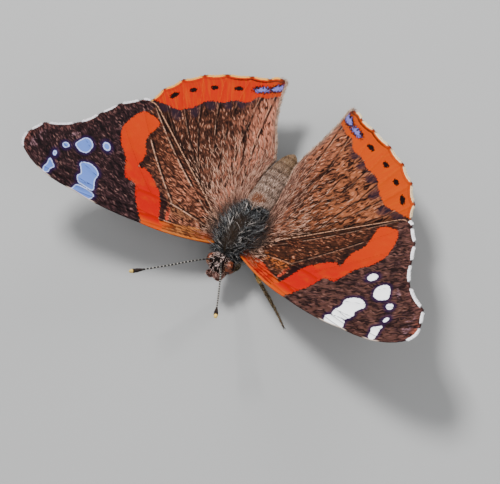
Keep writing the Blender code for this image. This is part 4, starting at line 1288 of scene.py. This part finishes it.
def body_grid():
    """The body's skin: ellipses (a(y) sin t, y, z(y) + b(y) cos t) from the face to the tail."""
    share = np.linspace(0.0, 1.0, BODY_ROWS)
    y = FACE_Y + (TAIL_Y - FACE_Y) * (share - 0.012 * np.sin(2 * np.pi * share))
    width, height, middle = body_section(y)
    turn = np.linspace(0.0, 2 * np.pi, BODY_COLUMNS)
    x = width[:, None] * np.sin(turn)
    z = middle[:, None] + height[:, None] * np.cos(turn)
    return np.stack([x, np.broadcast_to(y[:, None], x.shape), z], axis=-1)


def body_finish():
    """Skin under the hair: near black on the thorax, brown with darker rings on the abdomen."""
    finish = Finish("body_skin", {"Roughness": 0.7, "Specular IOR Level": 0.12})
    place = finish.place()
    _, y, _ = finish.parts(place)
    blot = finish.noise(place, (1.3, 1.3, 1.3), detail=4.0)
    fine = finish.noise(place, (9.0, 4.0, 9.0), detail=3.0)
    thorax = finish.mix(blot.between(0.4, 0.65), srgb(22, 20, 18), srgb(66, 54, 40))
    abdomen = finish.mix(fine.between(0.35, 0.65), srgb(84, 58, 44), srgb(176, 136, 110))
    ring = ((y - SEGMENT_START) * (1 / SEGMENT_LENGTH) % 1.0).between(0.16, 0.03)
    abdomen = finish.mix(ring * 0.6, abdomen, srgb(52, 34, 26))
    head = finish.mix(fine.between(0.4, 0.6), srgb(18, 9, 8), srgb(58, 30, 24))
    colour = finish.mix(y.between(2.8, 4.2), thorax, abdomen)
    colour = finish.mix(y.between(-4.0, -4.6), colour, head)
    finish.bump(fine, 0.6, 0.06)
    return finish.colour(colour)


def build_body():
    """One skin for head, thorax and abdomen, and its coats of hairs. The hairs' flow is a blend of
    the skin's own directions, the way sideways and a random swirl, and each coat rises from it by
    its own shares of the normal."""
    grid = body_grid()
    points, faces = closed_skin(grid[:, :-1])
    piece("body_skin", points, faces, [body_finish()], "body_hair", ["thorax", "abdomen", "head"])

    rows, columns = grid.shape[:2]
    aside, y = np.abs(grid[:, :, 0]), grid[:, :, 1]
    turn = np.broadcast_to(np.linspace(0.0, 2 * np.pi, columns), y.shape)
    from_eye = np.hypot((aside - EYE_MIDDLE[0]) / 0.8, (y - EYE_MIDDLE[1]) / 0.95)
    clear_of_eyes = from_eye > 0.95
    on_back = np.cos(turn)
    coats = (
        ("thorax_hair", 11500, (y > -4.2) & (y < 4.1), 31),
        ("thorax_tufts", 3600, (y > -4.1) & (y < 4.0) & (on_back > -0.4), 33),
        ("thorax_wisps", 460, (y > -3.9) & (y < 3.8) & (on_back > 0.0) & (aside > 0.5), 35),
        ("abdomen_hair", 11500, y > 3.2, 37),
        ("head_hair", 4200, (y < -3.9) & clear_of_eyes, 41),
        ("head_strokes", 125, (y < -3.9) & clear_of_eyes & (on_back > -0.4), 43),
    )
    grey = hair_finish(
        "thorax_hair", (13, 13, 13), (156, 158, 160),
        [("bare", (84, 66, 52)), ("lilac", (140, 118, 114))],
    )
    silver = hair_finish("thorax_wisps", (40, 38, 38), (224, 214, 206), [("bare", (84, 66, 52))])
    brown = hair_finish("head_hair", (12, 6, 5), (250, 218, 208), [("rusty", (140, 62, 42))])
    tan = hair_finish(
        "abdomen_hair", (66, 45, 33), (222, 188, 168),
        [("tawny", (168, 86, 34)), ("olive", (170, 132, 84)), ("ringed", (50, 32, 24))],
    )
    finishes = {
        "thorax_hair": grey, "thorax_tufts": grey, "thorax_wisps": silver, "abdomen_hair": tan,
        "head_hair": brown, "head_strokes": brown,
    }
    for name, count, where, seed in coats:
        rng = np.random.default_rng(seed)
        i, j = scatter(grid, where + 1e-9, count, rng)
        root, back, around, normal = surface_frame(grid, i, j)
        middle = body_section(root[:, 1])[2]
        outward = root - np.stack([np.zeros(count), root[:, 1], middle], axis=1)
        normal = normal * np.sign((normal * outward).sum(axis=1, keepdims=True))
        swirl = rng.normal(0.0, 1.0, (count, 1))
        away = np.sign(root[:, :1]) * SIDEWAYS
        top = np.cos(on_grid(turn, i, j))
        if name.startswith("thorax"):
            side_on = np.abs(root[:, 0]) / THORAX_HALF_WIDTH
            flow = back * 0.6 + away * 0.75 + around * swirl * 0.4
            front = smooth(-2.9, -4.2, root[:, 1])[:, None]
            parted = away * 0.9 - back * 0.1 + around * swirl * 0.3
            flow = unit(flow * (1 - front) + parted * front)
            bare = smooth(1.1, 0.4, np.abs(root[:, 0])) * smooth(3.2, 1.6, np.abs(root[:, 1] + 0.8))
            values = {
                "bare": 0.85 * bare * (top > 0.3),
                "lilac": 0.4 * smooth(0.55, 0.95, side_on) * rng.random(count),
            }
            if name == "thorax_hair":
                start = unit(flow + normal * rng.uniform(0.25, 0.75, (count, 1)))
                lift = normal * rng.uniform(-0.1, 0.2, (count, 1))
                end = unit(flow + lift + rng.normal(0, 0.2, (count, 3)))
                length = rng.uniform(0.5, 1.0, count) * (0.5 + 0.7 * smooth(0.15, 0.8, side_on))
                width = rng.uniform(0.028, 0.05, count)
                values["shade"] = np.clip(rng.random(count) ** 3.4 * 0.7, 0, 1)
            elif name == "thorax_tufts":
                start = unit(flow + normal * rng.uniform(0.3, 1.1, (count, 1)))
                end = unit(flow * 0.7 + rng.normal(0, 0.6, (count, 3)) + normal * 0.05)
                length = rng.uniform(0.9, 1.9, count) * (0.5 + 0.75 * smooth(0.1, 0.8, side_on))
                width = rng.uniform(0.026, 0.05, count)
                light = rng.random(count) < 0.2
                values["shade"] = either(light, (0.5, 0.95), (0.0, 0.25), rng)
                values["bare"] = values["bare"] * 0.7
            else:
                lift = normal * rng.uniform(0.3, 0.8, (count, 1))
                start = unit(flow + lift + around * swirl * 0.5)
                end = unit(rng.normal(0, 0.8, (count, 3)) + flow * 0.5 - normal * 0.1)
                length = rng.uniform(1.1, 2.1, count)
                width = rng.uniform(0.04, 0.065, count)
                values["shade"] = rng.random(count) ** 1.6
                values["bare"] = values["bare"] * 0.3
        elif name == "abdomen_hair":
            near_waist = smooth(7.0, 4.2, root[:, 1])
            flow = unit(back + around * swirl * (0.1 + 0.3 * near_waist[:, None]))
            rise = rng.uniform(0.08, 0.25, (count, 1)) + 0.35 * near_waist[:, None]
            start = unit(flow + normal * rise)
            end = unit(flow + normal * rng.uniform(-0.2, 0.05, (count, 1)))
            length = rng.uniform(0.3, 0.52, count) * (1 + near_waist)
            width = rng.uniform(0.03, 0.055, count)
            from_tuft = np.linalg.norm((root - TUFT_MIDDLE) / TUFT_HALF, axis=1)
            joint = ((root[:, 1] - SEGMENT_START) / SEGMENT_LENGTH) % 1.0
            row = (root[:, 1] / HAIR_ROW) % 1.0
            arcs = 0.7 * np.exp(-(((joint - 0.06) / 0.09) ** 2))
            arcs = arcs + 0.55 * np.exp(-(((row - 0.5) / 0.17) ** 2))
            sheen = smooth(10.5, 6.5, root[:, 1]) * (top > 0.1)
            values = {
                "shade": np.clip(rng.random(count) ** 1.5 * (0.6 + 0.55 * sheen) + 0.2, 0, 1),
                "tawny": 0.85 * smooth(1.15, 0.6, from_tuft) * (rng.random(count) < 0.75),
                "olive": 0.6 * smooth(8.5, 12.5, root[:, 1]),
                "ringed": np.clip(arcs, 0, 1) * (1 - 0.6 * near_waist),
            }
        else:
            flow = unit(-back * 0.75 + away * 0.15 + around * swirl * 0.4)
            values = {"rusty": 0.5 * smooth(0.5, 1.1, np.abs(root[:, 0])) * rng.random(count)}
            if name == "head_hair":
                start = unit(flow + normal * rng.uniform(0.6, 1.4, (count, 1)))
                end = unit(flow + normal * 0.35 + rng.normal(0, 0.2, (count, 3)))
                length = rng.uniform(0.25, 0.55, count)
                width = rng.uniform(0.028, 0.05, count)
                values["shade"] = rng.uniform(0.0, 0.14, count)
                values["rusty"] = values["rusty"] * 0.5
            else:
                lift = normal * rng.uniform(0.5, 1.0, (count, 1))
                start = unit(flow + lift + around * swirl * 0.4)
                end = unit(flow * 0.7 + normal * 0.1 + rng.normal(0, 0.8, (count, 3)))
                length = rng.uniform(0.6, 1.15, count)
                width = rng.uniform(0.045, 0.075, count)
                values["shade"] = rng.uniform(0.6, 1.1, count)
        hair = hairs(root, start, end, length, width, spot(j / columns, i / rows))
        coat(name, 1.0, hair, values, finishes[name], "body_hair")


def ellipsoid_rings(middle, half, rings, sides):
    """Rings of an ellipsoid about X: middle + half (cos p, sin p cos t, sin p sin t)."""
    p = np.linspace(0.02, np.pi - 0.02, rings)[:, None]
    t = (np.arange(sides) * 2 * np.pi / sides)[None]
    ball = np.broadcast_arrays(np.cos(p), np.sin(p) * np.cos(t), np.sin(p) * np.sin(t))
    return np.array(middle) + np.stack(ball, axis=-1) * half


def build_eyes():
    """Bulging red-brown eyes of many small facets."""
    finish = Finish("compound_eye", {"Roughness": 0.38, "Specular IOR Level": 0.28})
    place = finish.place()
    _, facet = finish.scales(place, (13.0, 13.0, 13.0))
    blot = finish.noise(place, (1.5, 1.5, 1.5), detail=3.0, distortion=1.2)
    eye_highlight = finish.noise(place, (2.8, 1.6, 2.8))
    colour = finish.mix(blot.between(0.42, 0.56), srgb(34, 11, 7), srgb(166, 84, 50))
    # Painted highlights: scattered light flecks on the eyes.
    colour = finish.mix(eye_highlight.between(0.56, 0.63) * 0.85, colour, srgb(238, 172, 138, LIT))
    colour = finish.mix(facet.between(0.35, 0.65) * 0.6, colour, srgb(20, 7, 5))
    finish.bump(1 - facet, 0.5, 0.02)
    material = finish.colour(colour)
    points, faces = closed_skin(ellipsoid_rings(EYE_MIDDLE, EYE_HALF, 60, 72))
    pair("eye_{}_facets", points, faces, [material], "compound_eye", "eye_{}")


def build_lashes():
    """Dark and pale hairs curving over each eye's inner rim from the head: they root on an ellipse
    (cos t, sin t) about the eye and leave it outwards."""
    finish = hair_finish("lash_hair", (22, 10, 8), (240, 190, 168))
    count = 420
    for side, sign in SIDES.items():
        rng = np.random.default_rng([47, int(sign > 0)])
        turn = rng.uniform(-0.3, np.pi + 0.5, count)
        ring = np.stack([np.zeros(count), np.cos(turn) * 0.78, np.sin(turn) * 0.86], axis=1)
        root = np.array([1.12, *EYE_MIDDLE[1:]]) + ring * rng.uniform(0.9, 1.05, (count, 1))
        outward = unit(root - (1.0, *EYE_MIDDLE[1:]))
        start = unit(outward * 0.9 + rng.normal(0, 0.25, (count, 3)))
        end = unit(np.array([0.8, -0.1, 0.1]) - outward * 0.1 + rng.normal(0, 0.4, (count, 3)))
        light = rng.random(count) < 0.14
        length = rng.uniform(0.3, 0.62, count)
        width = either(light, (0.04, 0.06), (0.025, 0.04), rng)
        shade = either(light, (0.6, 1.0), (0.0, 0.2), rng)
        place = spot(turn / 8 + 0.2, rng.random(count))
        hair = hairs(root, start, end, length, width, place)
        coat(f"eye_{side}_lashes", sign, hair, {"shade": shade}, finish, "body_hair")


ANTENNA_PATH = [
    (0.5, -5.35, 0.9), (0.82, -5.55, 1.6), (2.4, -7.4, 2.95), (4.1, -9.6, 4.35),
    (5.75, -11.75, 5.85), (6.6, -12.85, 6.68), (7.24, -13.65, 7.3),
]
ANTENNA_SIDES = 14
ANTENNA_SHAFT = 0.115
ANTENNA_CLUB = 0.31
ANTENNA_RING = 0.5  # from one pale ring to the next


def build_antennae():
    """Thin shafts ringed black and white, thickening to a black club with a yellow tip: circles
    along a curve, with the shaft's radius narrowed by 0.15 of it over the length, the club's added
    by a smooth step, a round end, and a ripple of 0.05 in each ring."""
    finish = Finish("antenna", {"Roughness": 0.5, "Specular IOR Level": 0.2})
    along, share = finish.attribute("along"), finish.attribute("share")
    speck = finish.noise(finish.place(), (6.0, 6.0, 6.0))
    ring = ((along * (1 / ANTENNA_RING)) % 1.0 - 0.5).size().between(0.2, 0.1)
    ring = ring * share.between(0.86, 0.8) * share.between(0.12, 0.34, 0.15, 1.0)
    colour = finish.mix(ring * 0.85, srgb(20, 15, 13), srgb(232, 226, 214))
    club = finish.mix(speck.between(0.4, 0.6), srgb(20, 13, 10), srgb(50, 30, 21))
    colour = finish.mix(share.between(0.83, 0.87), colour, club)
    colour = finish.mix(share.between(0.955, 0.966), colour, srgb(255, 214, 110))
    material = finish.colour(colour)
    path = along_line(curve_through(ANTENNA_PATH, 12), np.linspace(0.0, 1.0, 260))
    reach = reach_of(path)
    share = reach / reach[-1]
    tip = np.sqrt(np.clip(1 - (np.clip(share - 0.95, 0.0, None) / 0.05) ** 2, 0.01, 1.0))
    swell = smooth(0.8, 0.93, share)
    radii = ANTENNA_SHAFT * (1 - 0.15 * share) + (ANTENNA_CLUB - ANTENNA_SHAFT) * swell
    radii = radii * tip * (1 + 0.05 * np.cos(2 * np.pi * reach / ANTENNA_RING))
    points, faces = closed_skin(tube_rings(path, radii, UP, ANTENNA_SIDES))
    values = {
        "along": ring_values(reach, ANTENNA_SIDES),
        "share": ring_values(share, ANTENNA_SIDES),
    }
    pair("antenna_{}_shaft", points, faces, [material], "antenna", "antenna_{}", values=values)


PALP_PATH = [
    (0.45, -5.95, -0.6), (0.62, -6.4, -0.68), (0.68, -6.88, -0.42), (0.63, -7.1, 0.1),
    (0.52, -7.12, 0.68),
]
TONGUE_MIDDLE = (-5.29, -2.29)
TONGUE_TURNS = 2.3
RIBS_A_MILLIMETRE = 9.0
FORELEG_PATH = [
    (0.85, -3.05, -1.3), (1.15, -3.2, -2.0), (1.08, -3.8, -2.75), (0.97, -4.5, -2.55),
    (0.88, -5.05, -2.25),
]


def clothe(
    name, rings, count, seed, lengths, lift, finish, slot, values, sides=SIDES, dull=1.6, stout=1.0
):
    """Hairs over a tube: they leave its surface and lean towards its far end. Their shades are
    random shares to the power dull, and stout widens them."""
    looped = np.concatenate([rings, rings[:, :1]], axis=1)
    for side, sign in sides.items():
        rng = np.random.default_rng([seed, int(sign > 0)])
        i, j = scatter(looped, np.ones(looped.shape[:2]), count, rng)
        root, onward, around, normal = surface_frame(looped, i, j)
        middle = on_grid(np.repeat(rings.mean(axis=1)[:, None], looped.shape[1], axis=1), i, j)
        normal = normal * np.sign((normal * (root - middle)).sum(axis=1, keepdims=True))
        start = unit(onward + normal * lift + around * rng.normal(0, 0.25, (count, 1)))
        end = unit(onward + normal * 0.1 + rng.normal(0, 0.15, (count, 3)))
        length = rng.uniform(*lengths, count)
        width = rng.uniform(0.018, 0.036, count) * stout
        place = spot(j / looped.shape[1], i / looped.shape[0])
        shades = {"shade": rng.random(count) ** dull}
        shades.update({title: np.full(count, number) for title, number in values.items()})
        hair = hairs(root, start, end, length, width, place)
        coat(name.format(side), sign, hair, shades, finish, slot)


def build_palps_and_tongue():
    """Hairy palps held up before the face: circles along a curve. Between them the tongue is a tube
    that follows a parabola and then the spiral r = 0.92 - 0.29 t / 2 pi."""
    skin = Finish("palp_skin", {"Roughness": 0.6, "Specular IOR Level": 0.35})
    fine = skin.noise(skin.place(), (6.0, 6.0, 6.0), detail=3.0)
    material = skin.colour(skin.mix(fine.between(0.35, 0.65), srgb(58, 32, 24), srgb(124, 78, 58)))
    path = curve_through(PALP_PATH, 14)
    share = np.linspace(0.0, 1.0, len(path))
    radii = np.interp(share, [0, 0.25, 0.55, 0.85, 0.97, 1.0], [0.2, 0.26, 0.33, 0.24, 0.14, 0.03])
    rings = tube_rings(path, radii, SIDEWAYS, 18)
    points, faces = closed_skin(rings)
    pair("palp_{}_skin", points, faces, [material], "body_hair", "palp_{}")
    hair = hair_finish("palp_hair", (22, 9, 7), (240, 190, 176), [("rusty", (150, 62, 44))])
    tufts = rings[4:-2]
    clothe(
        "palp_{}_hair", tufts, 1700, 51, (0.26, 0.55), 1.1, hair, "body_hair", {"rusty": 0.3},
        dull=3.2,
    )
    clothe(
        "palp_{}_strokes", tufts, 150, 53, (0.4, 0.7), 1.0, hair, "body_hair", {"rusty": 0.1},
        dull=0.25, stout=2.3,
    )

    brown = Finish("tongue", {"Roughness": 0.4, "Specular IOR Level": 0.45})
    rib = ((brown.attribute("along") * RIBS_A_MILLIMETRE) % 1.0 - 0.5).size()
    brown.bump(rib, 0.5, 0.02)
    material = brown.colour(brown.mix(rib, srgb(70, 38, 20), srgb(132, 84, 48)))
    turn = np.linspace(0.0, 2 * np.pi * TONGUE_TURNS, 150)
    radius = 0.92 - 0.29 * turn / (2 * np.pi)
    y, z = TONGUE_MIDDLE[0] - radius * np.cos(turn), TONGUE_MIDDLE[1] - radius * np.sin(turn)
    coil = np.stack([np.zeros(len(turn)), y, z], axis=1)
    neck = parabola((0.0, -5.6, -0.95), (0.0, -6.08, -1.6), coil[0] + (0.0, 0.0, 0.08), 18)[:-1]
    path = np.vstack([neck, coil])
    reach = reach_of(path)
    radii = np.interp(reach / reach[-1], [0, 0.15, 0.9, 1.0], [0.16, 0.14, 0.09, 0.03])
    points, faces = closed_skin(tube_rings(path, radii, SIDEWAYS, TUBE_SIDES))
    values = {"along": ring_values(reach, TUBE_SIDES)}
    piece("proboscis_coil", points, faces, [material], "tongue", ["proboscis"], values)


FLOOR_Z = -BODY_HEIGHT
HINDLEG = [
    (1.0, 1.2, -1.5), (1.45, 1.45, -2.3), (1.75, 1.7, -2.75), (4.7, 4.2, -1.5), (6.6, 7.7, -3.6),
    (7.1, 8.7, FLOOR_Z + 0.15), (7.9, 10.2, FLOOR_Z + 0.13),
]
LEGS = {
    "midleg_left": [
        (1.0, -1.3, -1.5), (1.45, -1.5, -2.3), (1.75, -1.75, -2.8), (5.5, -4.55, -1.7),
        (8.75, -6.45, -3.5), (9.75, -7.2, FLOOR_Z + 0.15), (11.1, -8.1, FLOOR_Z + 0.13),
    ],
    "midleg_right": [
        (1.0, -1.3, -1.5), (1.45, -1.5, -2.3), (1.75, -1.75, -2.8), (5.0, -2.0, -1.7),
        (7.5, -1.9, -3.5), (8.2, -1.95, FLOOR_Z + 0.15), (9.5, -2.0, FLOOR_Z + 0.13),
    ],
    "hindleg_left": HINDLEG,
    "hindleg_right": HINDLEG,
}
# Each span's radius where it starts and where it ends
LEG_PROFILE = {
    "coxa": (0.40, 0.34),
    "trochanter": (0.30, 0.26),
    "femur": (0.27, 0.17),
    "tibia": (0.17, 0.14),
    "tarsus": (0.12, 0.10),
    "toe": (0.10, 0.08),
}
# The rings of a leg: steps to a span, and those that carry hair, the pale knee and the spines
LEG_STEPS = 22
HAIRY_RINGS = slice(24, 92)
KNEE_RINGS = slice(62, 67)
FOOT_RINGS = slice(86, -4)


def leg_rings(joints):
    """A jointed leg: straight spans between its joints with a short bend at each, from a running
    mean of five points. Its radius runs from one number to the next along a span, swells
    by 0.12 sin(pi t) and is nipped in by a fifth at each joint."""
    joints = np.array(joints)
    t = np.linspace(0.0, 1.0, LEG_STEPS, endpoint=False)
    path, radii = [], []
    for (start, end), (first, last) in zip(zip(joints, joints[1:]), LEG_PROFILE.values()):
        path.append(start + (end - start) * t[:, None])
        nip = 1 - 0.2 * (np.exp(-((t / 0.05) ** 2)) + np.exp(-(((1 - t) / 0.05) ** 2)))
        belly = 1 + 0.12 * np.sin(np.pi * t)
        radii.append((first + (last - first) * t) * nip * belly)
    path = np.vstack([*path, joints[-1]])
    radii = np.concatenate([*radii, [0.02]])
    kernel = np.ones(5) / 5
    for k in range(3):
        padded = np.concatenate([[path[0, k]] * 2, path[:, k], [path[-1, k]] * 2])
        path[:, k] = np.convolve(padded, kernel, "valid")
    across = np.cross(joints[3] - joints[2], joints[4] - joints[3])
    return tube_rings(path, radii, unit(across), TUBE_SIDES), path


def build_legs():
    """Four walking legs with pale knees, spines and claws, and the two small folded front legs,
    which are circles along a curve."""
    finish = Finish("leg", {"Roughness": 0.55, "Specular IOR Level": 0.2})
    along = finish.attribute("along")
    fine = finish.noise(finish.place(), (7.0, 7.0, 7.0), detail=3.0)
    thigh = finish.mix(fine.between(0.35, 0.65), srgb(40, 31, 26), srgb(104, 86, 70))
    shin = finish.mix(fine.between(0.4, 0.6), srgb(62, 46, 32), srgb(152, 122, 86))
    colour = finish.mix(along.between(3.6, 4.4), thigh, shin)
    colour = finish.mix((along - 3.95).size().between(0.22, 0.08), colour, srgb(255, 214, 142, 1.0))
    finish.bump(fine, 0.4, 0.03)
    material = finish.colour(colour)
    hair = hair_finish("leg_hair", (28, 21, 16), (206, 180, 140), [("pale", (246, 208, 142))])
    knee_hair = hair_finish("knee_hair", (255, 196, 110), (255, 222, 150))
    for name, joints in LEGS.items():
        side = name.split("_")[1]
        sign = SIDES[side]
        rings, path = leg_rings(joints)
        points, faces = closed_skin(rings)
        values = {"along": ring_values(np.arange(len(rings)) / LEG_STEPS, TUBE_SIDES) + 1.0}
        piece(f"{name}_skin", points * (sign, 1, 1), faces, [material], "leg", [name], values)
        only = {side: sign}
        seed = 61 + 3 * list(LEGS).index(name)
        clothe(
            f"{name}_hair", rings[HAIRY_RINGS], 1200, seed, (0.18, 0.42), 0.75, hair, "leg",
            {"pale": 0.05}, only, dull=2.2, stout=1.3,
        )
        clothe(
            f"{name}_knee", rings[KNEE_RINGS], 260, seed + 1, (0.26, 0.42), 1.2, knee_hair, "leg",
            {}, only, stout=1.6,
        )
        clothe(
            f"{name}_spines", rings[FOOT_RINGS], 150, seed + 2, (0.16, 0.3), 0.9, hair, "leg",
            {"pale": 0.0}, only,
        )
        claws(f"{name}_claws", path, material, sign)

    path = curve_through(FORELEG_PATH, 14)
    share = np.linspace(0.0, 1.0, len(path))
    radii = np.interp(share, [0, 0.3, 0.6, 0.9, 1.0], [0.26, 0.26, 0.22, 0.14, 0.03])
    rings = tube_rings(path, radii, SIDEWAYS, 14)
    points, faces = closed_skin(rings)
    values = {"along": np.full(len(points), 2.0)}
    pair("foreleg_{}_skin", points, faces, [material], "leg", "foreleg_{}", values=values)
    clothe("foreleg_{}_hair", rings[10:-2], 900, 83, (0.25, 0.5), 0.8, hair, "leg", {"pale": 0.0})


def claws(name, path, material, sign):
    """Two small hooks at the end of a foot: parabolas out to each side and down to the floor."""
    tip, heading = path[-1], unit(path[-1] - path[-6])
    sideways = unit(np.cross(heading, UP))
    sets = []
    for way in (-1, 1):
        bend = tip + heading * 0.16 + sideways * way * 0.12 + (0.0, 0.0, 0.03)
        end = np.array([*(tip + heading * 0.3 + sideways * way * 0.1)[:2], FLOOR_Z + 0.02])
        hook = parabola(tip - heading * 0.05, bend, end, 10)
        radii = np.linspace(0.045, 0.008, 10)
        sets.append(closed_skin(tube_rings(hook, radii, sideways, 7)))
    first = len(sets[0][0])
    points = np.vstack([made[0] for made in sets])
    faces = [np.vstack([sets[0][1][k], sets[1][1][k] + first]) for k in range(2)]
    values = {"along": np.full(len(points), 1.2)}
    piece(name, points * (sign, 1, 1), faces, [material], "leg", (), values)


def stage_and_lights():
    """A plain pale floor, soft lights and an even sky."""
    mesh = bpy.data.meshes.new("floor")
    half = 0.9
    corners = [(-half, -half, 0), (half, -half, 0), (half, half, 0), (-half, half, 0)]
    mesh.from_pydata(corners, [], [(0, 1, 2, 3)])
    grey = (0.33, 0.33, 0.328, 1.0)
    finish = Finish("pale_floor", {"Roughness": 0.9, "Base Color": grey, "Specular IOR Level": 0.1})
    mesh.materials.append(finish.material)
    floor = placed("floor", mesh)

    world = bpy.data.worlds.new("sky")
    world.use_nodes = True
    sky = world.node_tree.nodes["Background"].inputs
    sky["Color"].default_value = (0.95, 0.97, 1.0, 1.0)
    sky["Strength"].default_value = 0.545
    bpy.context.scene.world = world
    for name, place, size, power in (
        ("key", (-0.14, 0.12, 0.36), 0.1, 2.65),
        ("fill", (0.3, -0.12, 0.26), 0.3, 0.91),
        ("rim", (0.02, 0.36, 0.16), 0.2, 0.73),
    ):
        light = bpy.data.lights.new(name, "AREA")
        light.size = size
        light.energy = power
        made = placed(name, light)
        made.location = place
        aim = Vector((0.0, 0.0, 0.005)) - Vector(place)
        made.rotation_euler = aim.to_track_quat("-Z", "Y").to_euler()


CAMERA_RIGHT = (0.806112, 0.531220, -0.260747)
CAMERA_UP = (-0.402914, 0.815421, 0.415630)
CAMERA_BACK = (0.433410, -0.229986, 0.871357)
CAMERA_DISTANCE = 202.754
PIXELS_A_MILLIMETRE = 7.25047
MIDDLE_PIXEL = (241.067, 232.597)
IMAGE = (500, 484)
SENSOR_MM = 36.0


def camera():
    """The photograph's view: the thorax's middle at MIDDLE_PIXEL, and at its distance this many
    pixels to a millimetre."""
    data = bpy.data.cameras.new("camera")
    data.sensor_width = SENSOR_MM
    data.lens = PIXELS_A_MILLIMETRE * CAMERA_DISTANCE / IMAGE[0] * SENSOR_MM
    data.shift_x = (IMAGE[0] / 2 - MIDDLE_PIXEL[0]) / IMAGE[0]
    data.shift_y = (MIDDLE_PIXEL[1] - IMAGE[1] / 2) / IMAGE[0]
    data.clip_start = 0.01
    made = placed("camera", data)
    columns = Matrix((CAMERA_RIGHT, CAMERA_UP, CAMERA_BACK)).transposed().to_4x4()
    place = Vector((ORIGIN + CAMERA_DISTANCE * np.array(CAMERA_BACK)) * MM)
    made.matrix_world = Matrix.Translation(place) @ columns
    bpy.context.scene.camera = made


wings = wing_pieces()
wing_hairs(wings)
fringes()
anal_fringes(wings)
build_body()
build_eyes()
build_lashes()
build_antennae()
build_palps_and_tongue()
build_legs()
stage_and_lights()
camera()
